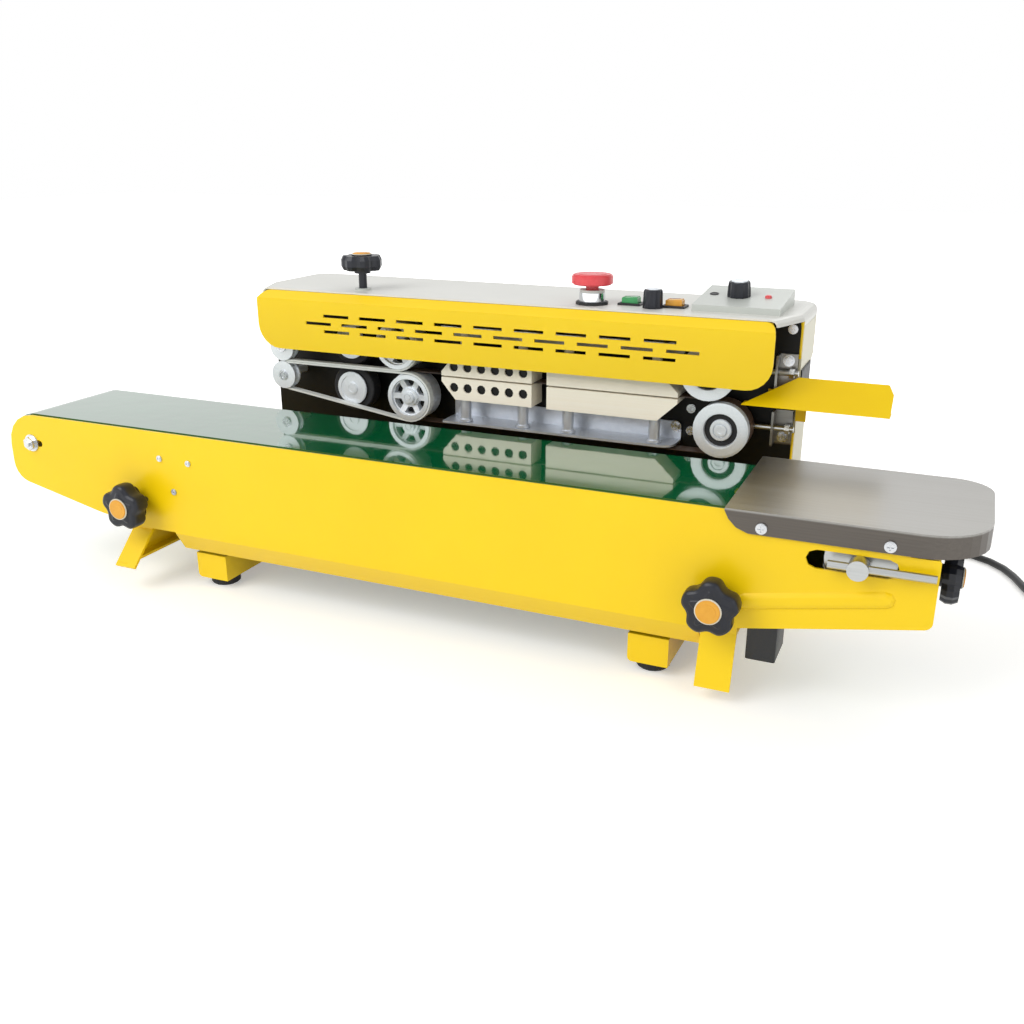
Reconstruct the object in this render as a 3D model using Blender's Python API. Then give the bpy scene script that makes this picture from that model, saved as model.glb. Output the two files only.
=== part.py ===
"""Continuous band sealer: a belt conveyor in front of a sealing head, on one base frame.

Metres, +Z up. The conveyor runs along X, the front faces -Y and the feet stand on Z = 0.
The origin is at the middle of the footprint of the whole machine.
"""
import math

import bmesh
import bpy
from mathutils import Matrix, Vector

for leftover in list(bpy.data.objects):
    bpy.data.objects.remove(leftover, do_unlink=True)

# ---- clearances -----------------------------------------------------------------------
SEAT_GAP = 0.0003            # between two pieces that touch
HOLE_GAP = 0.0004            # between a pin or stud and its hole, on the radius

# ---- conveyor -------------------------------------------------------------------------
BELT_TOP = 0.155
BELT_THICK = 0.002
BELT_WIDTH = 0.112
BELT_FRONT_GAP = 0.005       # from the front panel's inner face to the belt
BELT_REAR_GAP = 0.0035
ROLLER_R = 0.0257
ROLLER_BORE_R = 0.0053
DRIVE_ROLLER_X = -0.419
TENSION_ROLLER_X = 0.365
TENSION_TRAVEL = 0.020
PANEL_THICK = 0.002
FRONT_PANEL_Y = -0.129       # outer face of the front panel
REAR_PANEL_TOP = 0.1505
PANEL_LEFT = -0.448
PANEL_RIGHT = 0.418
PANEL_STEP_X = 0.398         # right of here the panel stays below the tray's lip
PANEL_FOLD_Z = 0.058         # fold of the slanted lower flange
PANEL_TAIL_Z = 0.0885        # lower corner at the belt's tail
PANEL_RISE = (-0.343, 0.0660)
PANEL_NOSE_Z = 0.0868        # lower corner under the tray
PANEL_FLANGE_DROP = 0.0195
PANEL_FLANGE_IN = 0.011
FLANGE_LEFT = -0.250
FLANGE_RIGHT = 0.254
TAIL_SLOT_LENGTH = 0.017
TAIL_BOLT_R = 0.003
TENSION_SLOT_LEFT = 0.328
TENSION_SLOT_RIGHT = 0.392
TENSION_SLOT_HEIGHT = 0.0145
BED_THICK = 0.0015
BED_FLANGE = 0.016
BED_LEFT = -0.388
BEAD_START = (0.281, 0.084)
BEAD_END = (0.392, 0.105)
BEAD_WIDTH = 0.013
BEAD_HEIGHT = 0.0024

# ---- end tray -------------------------------------------------------------------------
TRAY_LEFT = 0.268
TRAY_RIGHT = 0.448
TRAY_BEHIND = 0.0165         # how far the tray reaches past the rear panel
TRAY_SHEET = 0.0015
TRAY_LIP = 0.0175
TRAY_FRONT_CORNER = 0.045
TRAY_REAR_CORNER = 0.030
TRAY_TAB_X = 0.409
END_KNOB_Y = -0.084
END_KNOB_Z = 0.1115

# ---- clamp knobs and support arms -----------------------------------------------------
CLAMP_X = (-0.288, 0.267)
CLAMP_Z = 0.0855
CLAMP_STUD_R = 0.0038
CLAMP_HEAD_R = 0.0212
CLAMP_LOBES = 7
LIFT_TRAVEL = 0.020          # height adjustment of the conveyor
ARM_LEFT_X = (-0.303, -0.280)    # the two sides of each arm's strip
ARM_RIGHT_X = (0.2555, 0.2830)
ARM_TOE_OUT = (0.030, 0.012)     # how far the left and the right toe splay out
ARM_TOE_Z = (0.0265, 0.0120)
ARM_SHEET = 0.0025
ARM_TOP_Z = 0.122
ARM_WEB_TOP = 0.055
ARM_REAR_Y = 0.058
ARM_LIP = 0.012

# ---- base frame and feet --------------------------------------------------------------
FRAME_LEFT = -0.302
FRAME_RIGHT = 0.284
FRAME_FRONT_Y = 0.020
FRAME_REAR_Y = 0.160
FRAME_SHEET = 0.002
FRAME_TOP = 0.035
FOOT_ARM_X = (FRAME_LEFT + 0.0785, FRAME_RIGHT - 0.073)
FOOT_ARM_WIDTH = 0.034
FOOT_ARM_FRONT_Y = -0.114
FOOT_ARM_BOTTOM = 0.009
FOOT_Y = (-0.095, 0.140)
FOOT_R = 0.014

# ---- housing and head -----------------------------------------------------------------
HOUSING_LEFT = -0.264
HOUSING_RIGHT = 0.284
HOUSING_FRONT_Y = 0.071
HOUSING_REAR_Y = 0.161
HOUSING_TOP = 0.2580         # rim that carries the lid
HOUSING_WALL = 0.002
HOUSING_CORNER = 0.020
LOWER_REAR_Y = 0.1265        # rear wall of the shallow lower part
STEP_LOW_Z = 0.2150          # the rear wall slopes out between these two heights
STEP_HIGH_Z = 0.2360
VENT_X = -0.140
VENT_Z = 0.090
VENT_PITCH = 0.016
VENT_LENGTH = 0.080
VENT_HEIGHT = 0.005
VENT_ROWS = 6
PLATE_THICK = 0.003
PLATE_Y = HOUSING_FRONT_Y - SEAT_GAP - PLATE_THICK
PLATE_BOTTOM = 0.040
LID_TOP = 0.2685
LID_ROUND = 0.006            # rounding of the lid's top edges
LID_SHEET = 0.0015
LID_FRONT_Y = 0.0295
COVER_Y = 0.019
COVER_SHEET = 0.0015
COVER_LEFT = -0.247
COVER_RIGHT = 0.269
COVER_BOTTOM = 0.210
COVER_FOLD_Z = 0.2598
COVER_CORNER = 0.010         # rounding of the cover's two top corners
COVER_LIP_REAR = 0.046
SLOT_LENGTH = 0.029
SLOT_HEIGHT = 0.0030
SLOT_PITCH = 0.0408
SLOT_ROWS = ((-0.1690, 0.2458, 9), (-0.1895, 0.2379, 10), (-0.1690, 0.2305, 9))

# ---- wheels, bands and guide belts ----------------------------------------------------
CONTACT_Z = 0.1945           # where the upper and lower band meet
NIP_GAP = 0.0002
BAND_THICK = 0.0004
BAND_Y = 0.040
BAND_WIDTH = 0.015
WHEEL_R = 0.0240
WHEEL_FRONT_Y = 0.031
WHEEL_REAR_Y = 0.0556
SPOKED_X = (-0.0837, -0.0957)    # the lower and the upper wheel
RIGHT_X = (0.2263, 0.2123)
GUIDE_BELT_THICK = 0.0018
GUIDE_BELT_WIDTH = 0.007
GUIDE_BELT_Y = 0.0315
PULLEY_X = -0.229
PULLEY_OUT_R = 0.0143        # over the guide belt
PRESS_X = -0.153
PRESS_R = 0.0234
PRESS_Y = 0.041
SHAFT_R = 0.0050
THIN_SHAFT_R = 0.0040
GEAR_TEETH = 16
GEAR_Y = 0.0735
GEAR_WIDTH = 0.008
BAND_TENSION_TRAVEL = 0.008
PRESS_TRAVEL = 0.002

# ---- blocks and rails -----------------------------------------------------------------
BLOCK_Y = 0.031
BLOCK_DEPTH = 0.026
BLOCK_HEIGHT = 0.0210
COOL_LEFT = -0.046
COOL_RIGHT = 0.048
HEAT_LEFT = 0.063
HEAT_RIGHT = 0.187
BLOCK_SLANT = 0.018
COOL_HOLES = 6
COOL_HOLE_R = 0.0046
COOL_HOLE_PITCH = 0.0144
COOL_HOLE_X = -0.0327
POST_R = 0.0045
COOL_POSTS = (-0.0265, 0.034)
HEAT_POSTS = (0.080, 0.1635)
RAIL_LEFT = -0.049
RAIL_RIGHT = 0.183
RAIL_SHEET = 0.002
RAIL_WALL = 0.018
RAIL_SHELF_Z = 0.147         # underside of the lower shelf
RAIL_FRONT_Y = 0.036
BLOCK_TRAVEL = 0.002

# ---- controls on the lid --------------------------------------------------------------
PRESSURE_X = -0.1425
PRESSURE_Y = 0.053
PRESSURE_HEAD_R = 0.0195
PRESSURE_RISE = 0.0345       # from the lid to the top of the knob
ESTOP_X = 0.0965
ESTOP_Y = 0.056
ESTOP_R = 0.0188
ESTOP_TRAVEL = 0.004
SPEED_X = 0.154
SPEED_Y = 0.054
SPEED_R = 0.0092
POWER_X = 0.1305
HEATER_X = 0.1710
ROCKER_Y = 0.066
ROCKER_LENGTH = 0.015
ROCKER_WIDTH = 0.011
CASE_LEFT = 0.190
CASE_RIGHT = 0.266
CASE_FRONT_Y = 0.050
CASE_REAR_Y = 0.122
CASE_FRONT_RISE = 0.006
CASE_REAR_RISE = 0.014
DIAL_X = 0.223
DIAL_Y = 0.086
DIAL_R = 0.0105

# ---- power cord -----------------------------------------------------------------------
CORD_R = 0.0035
GLAND_X = 0.200
GLAND_Z = 0.060
GLAND_LENGTH = 0.028         # strain relief behind the wall
COIL_X = 0.557
COIL_Y = 0.150
COIL_OUT_R = 0.0475
COIL_PITCH = 0.0076
COIL_TURNS_IN = 2.5
COIL_TURNS_OUT = 2.208
COIL_POINTS = 24
COIL_TAIL = 0.036            # straight end that leaves the coil for the plug
CORD_LIE_Z = 0.0036
CORD_ROUTE = (
    (0.2000, 0.1548, 0.0600), (0.2000, 0.1710, 0.0592), (0.2008, 0.1890, 0.0525),
    (0.2030, 0.2060, 0.0385), (0.2070, 0.2215, 0.0215), (0.2140, 0.2370, 0.0092),
    (0.2255, 0.2510, 0.0044), (0.2430, 0.2630, 0.0036), (0.2650, 0.2710, 0.0036),
    (0.2980, 0.2750, 0.0036), (0.3400, 0.2745, 0.0036),
    (0.3900, 0.2705, 0.0036), (0.4250, 0.2665, 0.0036), (0.4480, 0.2600, 0.0036),
    (0.4645, 0.2495, 0.0036), (0.4770, 0.2350, 0.0036), (0.4860, 0.2170, 0.0036),
    (0.4930, 0.1970, 0.0036), (0.5005, 0.1770, 0.0036), (0.5075, 0.1610, 0.0036),
    (0.5095, 0.1503, 0.0036),
)

# ---- sizes that follow from the ones above --------------------------------------------
ROLLER_Z = BELT_TOP - BELT_THICK - SEAT_GAP - ROLLER_R
BELT_IN_R = ROLLER_R + SEAT_GAP
BELT_OUT_R = BELT_IN_R + BELT_THICK
BELT_FRONT_Y = FRONT_PANEL_Y + PANEL_THICK + BELT_FRONT_GAP
BELT_REAR_Y = BELT_FRONT_Y + BELT_WIDTH
REAR_PANEL_Y = BELT_REAR_Y + BELT_REAR_GAP + PANEL_THICK     # outer face
TRAY_REAR_Y = REAR_PANEL_Y + TRAY_BEHIND
BED_TOP = BELT_TOP - BELT_THICK - SEAT_GAP
BED_RIGHT = TENSION_ROLLER_X - BELT_OUT_R - TENSION_TRAVEL - 0.002
FRONT_INNER_Y = FRONT_PANEL_Y + PANEL_THICK
REAR_INNER_Y = REAR_PANEL_Y - PANEL_THICK
TRAY_TOP = BELT_TOP + 0.0005 + TRAY_SHEET
TRAY_FRONT_Y = FRONT_PANEL_Y - SEAT_GAP - TRAY_SHEET
BAND_IN_R = WHEEL_R + SEAT_GAP
BAND_OUT_R = BAND_IN_R + BAND_THICK
WHEEL_OFFSET = BAND_OUT_R + NIP_GAP / 2
LOWER_WHEEL_Z = CONTACT_Z - WHEEL_OFFSET
UPPER_WHEEL_Z = CONTACT_Z + WHEEL_OFFSET
WHEEL_RISE = 2 * WHEEL_OFFSET
WHEEL_LINE = math.atan2(WHEEL_RISE, SPOKED_X[1] - SPOKED_X[0])
GEAR_R = math.hypot(WHEEL_RISE, SPOKED_X[1] - SPOKED_X[0]) / 2
GUIDE_IN_R = BAND_OUT_R - GUIDE_BELT_THICK
PULLEY_OFFSET = PULLEY_OUT_R + NIP_GAP / 2
PULLEY_IN_R = PULLEY_OUT_R - GUIDE_BELT_THICK
PRESS_OFFSET = PRESS_R + NIP_GAP / 2
BLOCK_TOP = CONTACT_Z - NIP_GAP / 2 - BAND_THICK - SEAT_GAP
BLOCK_BOTTOM = BLOCK_TOP - BLOCK_HEIGHT
PLATE_REAR_Y = PLATE_Y + PLATE_THICK
PLATE_TOP = LID_TOP - LID_SHEET - 0.0035     # clear of the rockers
GLAND_END_Y = LOWER_REAR_Y + GLAND_LENGTH
COIL_LOW_Z = CORD_LIE_Z
COIL_HIGH_Z = CORD_LIE_Z + COIL_PITCH


# ---- materials ------------------------------------------------------------------------
def linear(value):
    return value / 12.92 if value <= 0.04045 else ((value + 0.055) / 1.055) ** 2.4


def material(name, colour, roughness, metallic=0.0):
    """A Principled material; the colour is sRGB, 0 to 255."""
    made = bpy.data.materials.new(name)
    made.use_nodes = True
    shader = made.node_tree.nodes["Principled BSDF"]
    shader.inputs["Base Color"].default_value = (*(linear(c / 255) for c in colour), 1)
    shader.inputs["Roughness"].default_value = roughness
    shader.inputs["Metallic"].default_value = metallic
    return made


YELLOW = material("yellow powder coat", (250, 215, 10), 0.35)
STEEL = material("stainless steel", (176, 178, 178), 0.30, 1.0)
ALUMINIUM = material("machined aluminium", (214, 220, 228), 0.35, 1.0)
BLACK_PLATE = material("black painted plate", (14, 13, 12), 0.40)
GREY_PANEL = material("pale grey panel", (226, 226, 222), 0.35)
BELT_GREEN = material("green conveyor belt", (4, 78, 42), 0.18)
BAND_BROWN = material("glass fibre sealing band", (88, 62, 44), 0.45)
GUIDE_GREY = material("grey guide belt", (186, 190, 184), 0.55)
RUBBER = material("black rubber", (18, 18, 19), 0.75)
BLACK_PLASTIC = material("black moulded plastic", (36, 38, 50), 0.35)
BLOCK_TAN = material("anodised block", (240, 226, 198), 0.35, 0.2)
RED_PLASTIC = material("red button", (224, 74, 84), 0.35)
GREEN_PLASTIC = material("green rocker", (52, 158, 92), 0.35)
ORANGE_PLASTIC = material("orange rocker", (229, 160, 36), 0.35)
CORD_BLACK = material("black cord", (22, 22, 24), 0.50)


# ---- outlines and meshes --------------------------------------------------------------
def arc(cx, cy, radius, start, end, steps):
    """Points on an arc, angles in degrees, both ends included."""
    points = []
    for i in range(steps + 1):
        angle = math.radians(start + (end - start) * i / steps)
        points.append((cx + radius * math.cos(angle), cy + radius * math.sin(angle)))
    return points


def circle(cx, cy, radius, steps):
    return arc(cx, cy, radius, 0, 360 - 360 / steps, steps - 1)


def filleted(corners, steps=4):
    """A closed outline from (x, y, fillet radius) corners."""
    points = []
    count = len(corners)
    for i, (x, y, radius) in enumerate(corners):
        here = Vector((x, y))
        if radius <= 0:
            points.append((x, y))
            continue
        back = Vector(corners[i - 1][:2]) - here
        ahead = Vector(corners[(i + 1) % count][:2]) - here
        turn = back.angle(ahead)
        reach = min(radius / math.tan(turn / 2), back.length * 0.49, ahead.length * 0.49)
        true_radius = reach * math.tan(turn / 2)
        centre = here + (back.normalized() + ahead.normalized()).normalized() * (
            true_radius / math.sin(turn / 2))
        first = here + back.normalized() * reach - centre
        last = here + ahead.normalized() * reach - centre
        sweep = first.angle_signed(last)
        for k in range(steps + 1):
            spot = centre + Matrix.Rotation(-sweep * k / steps, 2) @ first
            points.append((spot.x, spot.y))
    return points


def box_outline(x0, y0, x1, y1, radius=0.0, steps=4):
    return filleted([(x0, y0, radius), (x1, y0, radius), (x1, y1, radius), (x0, y1, radius)],
                    steps)


def slot_outline(cx, cy, length, height, steps=4):
    """A straight slot with round ends; length is over all."""
    half = length / 2 - height / 2
    return (arc(cx + half, cy, height / 2, -90, 90, steps)
            + arc(cx - half, cy, height / 2, 90, 270, steps))


def folded(path, thick):
    """The outline of a sheet whose one face follows path, with thick to its left."""
    points = [Vector(p) for p in path]
    offset = []
    for i, point in enumerate(points):
        sides = []
        if i > 0:
            step = (point - points[i - 1]).normalized()
            sides.append(Vector((-step.y, step.x)))
        if i < len(points) - 1:
            step = (points[i + 1] - point).normalized()
            sides.append(Vector((-step.y, step.x)))
        normal = sum(sides, Vector((0, 0))).normalized()
        offset.append(point + normal * (thick / normal.dot(sides[0])))
    return [tuple(p) for p in points] + [tuple(p) for p in reversed(offset)]


PLANES = {
    "XY": lambda u, v, w: (u, v, w),
    "XZ": lambda u, v, w: (u, w, v),
    "YZ": lambda u, v, w: (w, u, v),
}


def prism(outline, plane, start, depth, holes=(), centre=(0, 0, 0)):
    """An outline with holes, extruded from start along the plane's normal axis."""
    bm = bmesh.new()
    place = PLANES[plane]
    origin = Vector(centre)
    edges = []
    for loop in (outline, *holes):
        verts = [bm.verts.new(Vector(place(u, v, start)) - origin) for u, v in loop]
        for i, vert in enumerate(verts):
            edges.append(bm.edges.new((vert, verts[(i + 1) % len(verts)])))
    bmesh.ops.triangle_fill(bm, use_beauty=True, edges=edges)
    grown = bmesh.ops.extrude_face_region(bm, geom=bm.faces[:])
    moved = [g for g in grown["geom"] if isinstance(g, bmesh.types.BMVert)]
    bmesh.ops.translate(bm, verts=moved, vec=Vector(place(0, 0, depth)))
    bmesh.ops.recalc_face_normals(bm, faces=bm.faces)
    return bm


AXES = {
    "X": lambda c, s, h: (h, c, s),
    "Y": lambda c, s, h: (c, h, s),
    "Z": lambda c, s, h: (c, s, h),
}


def turned(profile, axis, steps, closed=False, centre=(0, 0, 0), outline=None):
    """A profile of (radius, height) turned about an axis through centre.

    An outline function of the angle scales the radius, for lobed and toothed shapes.
    """
    bm = bmesh.new()
    place = AXES[axis]
    middle = Vector(centre)
    rings = []
    for radius, height in profile:
        if radius < 1e-7:
            rings.append([bm.verts.new(middle + Vector(place(0, 0, height)))])
            continue
        ring = []
        for i in range(steps):
            angle = 2 * math.pi * i / steps
            reach = radius * (outline(i, radius) if outline else 1.0)
            spot = place(reach * math.cos(angle), reach * math.sin(angle), height)
            ring.append(bm.verts.new(middle + Vector(spot)))
        rings.append(ring)
    pairs = list(zip(rings, rings[1:]))
    if closed:
        pairs.append((rings[-1], rings[0]))
    for low, high in pairs:
        for i in range(steps):
            k = (i + 1) % steps
            corners = [low[i % len(low)], low[k % len(low)], high[k % len(high)],
                       high[i % len(high)]]
            kept = list(dict.fromkeys(corners))
            if len(kept) > 2:
                bm.faces.new(kept)
    for ring in () if closed else (rings[0], rings[-1]):
        if len(ring) > 1:
            bm.faces.new(ring)
    bmesh.ops.recalc_face_normals(bm, faces=bm.faces)
    return bm


def block(low, high, centre=(0, 0, 0)):
    """A rectangular solid between two corners."""
    return prism(box_outline(low[0], low[1], high[0], high[1]), "XY", low[2],
                 high[2] - low[2], centre=centre)


def scratch(bm):
    mesh = bpy.data.meshes.new("scratch")
    bm.to_mesh(mesh)
    bm.free()
    made = bpy.data.objects.new("scratch", mesh)
    bpy.context.scene.collection.objects.link(made)
    return made


def shaped(bm, joined=(), cut=()):
    """A mesh with other solids joined to it and cut from it, as one closed body."""
    base = scratch(bm)
    helpers = []
    for tools, operation in ((joined, "UNION"), (cut, "DIFFERENCE")):
        for tool in tools:
            helper = scratch(tool)
            helpers.append(helper)
            step = base.modifiers.new("step", "BOOLEAN")
            step.operation = operation
            step.solver = "EXACT"
            step.object = helper
    depsgraph = bpy.context.evaluated_depsgraph_get()
    depsgraph.update()
    mesh = bpy.data.meshes.new_from_object(base.evaluated_get(depsgraph))
    for spent in [base, *helpers]:
        bpy.data.objects.remove(spent, do_unlink=True)
    result = bmesh.new()
    result.from_mesh(mesh)
    bmesh.ops.remove_doubles(result, verts=result.verts, dist=2e-6)
    bmesh.ops.dissolve_degenerate(result, edges=result.edges, dist=2e-6)
    bpy.data.meshes.remove(mesh)
    return result


def piece(name, bm, surface, origin=(0, 0, 0)):
    """The finished sub-part; origin is on its joint's axis where it moves."""
    mesh = bpy.data.meshes.new(name)
    bm.to_mesh(mesh)
    bm.free()
    mesh.materials.append(surface)
    mesh.shade_smooth()
    mesh.set_sharp_from_angle(angle=math.radians(35))
    made = bpy.data.objects.new(name, mesh)
    made.location = origin
    bpy.context.scene.collection.objects.link(made)
    return made


def mirrored(bm, z):
    """The same mesh seen in a level mirror at height z."""
    for vert in bm.verts:
        vert.co.z = 2 * z - vert.co.z
    bmesh.ops.reverse_faces(bm, faces=bm.faces)
    return bm


def lobed(count, depth, steps):
    """A radius factor for turned(): round lobes with hollows between them."""
    def factor(i, radius):
        wave = math.cos(2 * math.pi * count * i / steps)
        return 1.0 + depth * (wave - 0.35 * wave * wave) if radius > 0.013 else 1.0
    return factor


# ---- base frame, feet and support arms ------------------------------------------------
def base_frame():
    """A pan under the head, welded on two channels that reach under the conveyor."""
    pan = block((FRAME_LEFT, FRAME_FRONT_Y, FRAME_TOP - FRAME_SHEET),
                (FRAME_RIGHT, FRAME_REAR_Y, FRAME_TOP))
    joined = []
    cut = []
    half = FOOT_ARM_WIDTH / 2
    for x in FOOT_ARM_X:
        outline = filleted([
            (x - half, FOOT_ARM_BOTTOM, 0.004), (x + half, FOOT_ARM_BOTTOM, 0),
            (x + half, FRAME_TOP - FRAME_SHEET / 2, 0), (x - half, FRAME_TOP - FRAME_SHEET / 2, 0)])
        joined.append(prism(outline, "XZ", FOOT_ARM_FRONT_Y,
                            FRAME_REAR_Y - 0.001 - FOOT_ARM_FRONT_Y))
        cut.append(block(
            (x - half + FRAME_SHEET, FOOT_ARM_FRONT_Y + FRAME_SHEET, FOOT_ARM_BOTTOM - 0.01),
            (x + half - FRAME_SHEET, FRAME_REAR_Y - 0.001 - FRAME_SHEET,
             FRAME_TOP - 1.5 * FRAME_SHEET)))
    return shaped(pan, joined, cut)


piece("base_frame", base_frame(), YELLOW)

foot_top = FRAME_TOP - 1.5 * FRAME_SHEET - SEAT_GAP
for side, foot_x in zip(("left", "right"), FOOT_ARM_X):
    for end, foot_y in zip(("front", "rear"), FOOT_Y):
        foot_profile = [(0, 0), (FOOT_R - 0.0015, 0), (FOOT_R, 0.0015),
                        (FOOT_R - 0.0015, foot_top), (0, foot_top)]
        piece(f"rubber_foot_{end}_{side}", turned(foot_profile, "Z", 16), RUBBER,
              (foot_x, foot_y, 0))


def support_arm(x, sides, toe_out, toe_z):
    """A bent sheet arm: an upright slotted strip whose toe splays out, a web and its lips."""
    left, right = sides
    strip_y = FRONT_INNER_Y + SEAT_GAP
    strip = folded([(strip_y - toe_out, toe_z), (strip_y, PANEL_FOLD_Z - 0.002),
                    (strip_y, ARM_TOP_Z)][::-1], ARM_SHEET)
    web = [(strip_y - toe_out + 0.003, toe_z + 0.001),
           (FRAME_FRONT_Y - 0.003, toe_z + 0.001),
           (FRAME_FRONT_Y - 0.003, FRAME_TOP + SEAT_GAP + 0.001),
           (ARM_REAR_Y, FRAME_TOP + SEAT_GAP + 0.001), (ARM_REAR_Y, ARM_WEB_TOP - 0.008),
           (ARM_REAR_Y - 0.010, ARM_WEB_TOP), (strip_y + 0.001, ARM_WEB_TOP)]
    front_lip = block((left + 0.001, strip_y - toe_out + 0.002, toe_z),
                      (left + ARM_LIP, FRAME_FRONT_Y - 0.003, toe_z + ARM_SHEET))
    rear_lip = block((left + 0.001, FRAME_FRONT_Y, FRAME_TOP + SEAT_GAP),
                     (left + ARM_LIP + 0.010, ARM_REAR_Y - 0.001,
                      FRAME_TOP + SEAT_GAP + ARM_SHEET))
    slot_height = LIFT_TRAVEL + 2 * (CLAMP_STUD_R + HOLE_GAP)
    slot = [(v, u) for u, v in slot_outline(CLAMP_Z + LIFT_TRAVEL / 2, x, slot_height,
                                            2 * (CLAMP_STUD_R + HOLE_GAP))]
    return shaped(prism(strip, "YZ", left, right - left),
                  [prism(web, "YZ", left + 0.0002, ARM_SHEET), front_lip, rear_lip],
                  [prism(slot, "XZ", strip_y - 0.01, 0.02)])


for side, arm_x, sides, toe_out, toe_z in zip(
        ("left", "right"), CLAMP_X, (ARM_LEFT_X, ARM_RIGHT_X), ARM_TOE_OUT, ARM_TOE_Z):
    piece(f"support_arm_{side}", support_arm(arm_x, sides, toe_out, toe_z), YELLOW)


# ---- star knobs -----------------------------------------------------------------------
def star_knob(head_r, hub_r, hub, head, cap_r, cap, stud_r, stud, axis, sign):
    """A seven-lobed knob: stud, hub, lobed head and round cap along one axis.

    Heights run outwards from the joint's origin; sign turns them towards the user.
    """
    lip = head_r * 0.90
    profile = [(0, -stud), (stud_r, -stud), (stud_r, 0), (hub_r, 0), (hub_r, hub),
               (lip, hub), (head_r, hub + 0.004), (head_r, hub + head - 0.004),
               (lip, hub + head), (cap_r, hub + head), (cap_r, hub + head + cap),
               (0, hub + head + cap)]
    steps = 4 * CLAMP_LOBES
    return turned([(r, sign * h) for r, h in profile], axis, steps,
                  outline=lobed(CLAMP_LOBES, 0.085, steps))


for side, knob_x in zip(("left", "right"), CLAMP_X):
    stud_bm = star_knob(CLAMP_HEAD_R, 0.0105, 0.011, 0.0175, 0.0102, 0.0025,
                        CLAMP_STUD_R, 0.0105, "Y", -1)
    nut_profile = [(0, 0), (0.0065, 0), (0.0065, 0.0045), (0, 0.0045)]
    nut = turned(nut_profile, "Y", 6,
                 centre=(0, PANEL_THICK + SEAT_GAP * 3 + ARM_SHEET, 0))
    piece(f"clamp_knob_{side}", shaped(stud_bm, [nut]), BLACK_PLASTIC,
          (knob_x, FRONT_PANEL_Y - SEAT_GAP, CLAMP_Z))

piece("end_knob", star_knob(0.0195, 0.0085, 0.009, 0.0125, 0.0080, 0.001, 0.0038, 0.016,
                            "X", 1),
      BLACK_PLASTIC, (TRAY_TAB_X + TRAY_SHEET + SEAT_GAP, END_KNOB_Y, END_KNOB_Z))


# ---- conveyor panels ------------------------------------------------------------------
def side_panel(outer_y, top_z, inward, bolt_out, with_studs):
    """A laser-cut side panel with its slanted lower flange, slots and tail axle bolt."""
    low_y = min(outer_y, outer_y + inward * PANEL_THICK)
    outline = filleted([
        (PANEL_LEFT, top_z, 0.036), (PANEL_LEFT, PANEL_TAIL_Z, 0.020), (*PANEL_RISE, 0.06),
        (FLANGE_LEFT - 0.042, PANEL_FOLD_Z, 0.01), (FLANGE_RIGHT + 0.006, PANEL_FOLD_Z, 0.02),
        (PANEL_RIGHT, PANEL_NOSE_Z, 0.006), (PANEL_RIGHT, TRAY_TOP - TRAY_LIP - 0.001, 0.002),
        (PANEL_STEP_X, TRAY_TOP - TRAY_LIP - 0.001, 0), (PANEL_STEP_X, top_z, 0)], 5)
    axle_slot = slot_outline(DRIVE_ROLLER_X + TAIL_SLOT_LENGTH / 2 - 0.0035, ROLLER_Z,
                             TAIL_SLOT_LENGTH, 2 * TAIL_BOLT_R + 0.0006)
    slide_slot = slot_outline((TENSION_SLOT_LEFT + TENSION_SLOT_RIGHT) / 2, ROLLER_Z,
                              TENSION_SLOT_RIGHT - TENSION_SLOT_LEFT, TENSION_SLOT_HEIGHT)
    holes = [axle_slot, slide_slot]
    if with_studs:
        holes += [circle(x, CLAMP_Z, CLAMP_STUD_R + HOLE_GAP, 16) for x in CLAMP_X]
    sheet = prism(outline, "XZ", low_y, PANEL_THICK, holes)
    fold = [(outer_y, PANEL_FOLD_Z + 0.001),
            (outer_y, PANEL_FOLD_Z - 0.001),
            (outer_y + inward * PANEL_FLANGE_IN, PANEL_FOLD_Z - PANEL_FLANGE_DROP)]
    if inward < 0:
        fold = fold[::-1]
    flange = prism(folded(fold, PANEL_THICK), "YZ", FLANGE_LEFT, FLANGE_RIGHT - FLANGE_LEFT)
    head = turned([(0, 0), (0.0058, 0), (0.0058, 0.0042), (0, 0.0042)], "Y", 6,
                  centre=(DRIVE_ROLLER_X, min(outer_y, outer_y + bolt_out * 0.004) - 0.0001, 0))
    shank_low = min(outer_y - 0.001 * inward, outer_y + inward * 0.0125)
    shank = turned([(0, 0), (TAIL_BOLT_R, 0), (TAIL_BOLT_R, 0.0135), (0, 0.0135)], "Y", 16,
                   centre=(DRIVE_ROLLER_X, shank_low, 0))
    for part in (head, shank):
        bmesh.ops.translate(part, verts=part.verts, vec=(0, 0, ROLLER_Z))
    return sheet, [flange, head, shank]


def bead(start, end, y, width, height):
    """A pressed stiffening bead that stands proud of the front panel."""
    run = Vector((end[0] - start[0], end[1] - start[1]))
    length = run.length
    turn = math.atan2(run.y, run.x)
    levels = ((0.0, 1.0), (0.55, 0.80), (0.9, 0.5), (1.0, 0.22))
    bm = bmesh.new()
    rings = []
    for rise, share in ((-0.4, 1.0), *levels):
        loop = slot_outline(0, 0, length - width * (1 - share), width * share)
        ring = []
        for u, v in loop:
            x = (start[0] + end[0]) / 2 + u * math.cos(turn) - v * math.sin(turn)
            z = (start[1] + end[1]) / 2 + u * math.sin(turn) + v * math.cos(turn)
            ring.append(bm.verts.new((x, y - rise * height, z)))
        rings.append(ring)
    for low, high in zip(rings, rings[1:]):
        for i in range(len(low)):
            k = (i + 1) % len(low)
            bm.faces.new((low[i], low[k], high[k], high[i]))
    bm.faces.new(rings[0])
    bm.faces.new(rings[-1])
    bmesh.ops.recalc_face_normals(bm, faces=bm.faces)
    return bm


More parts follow.
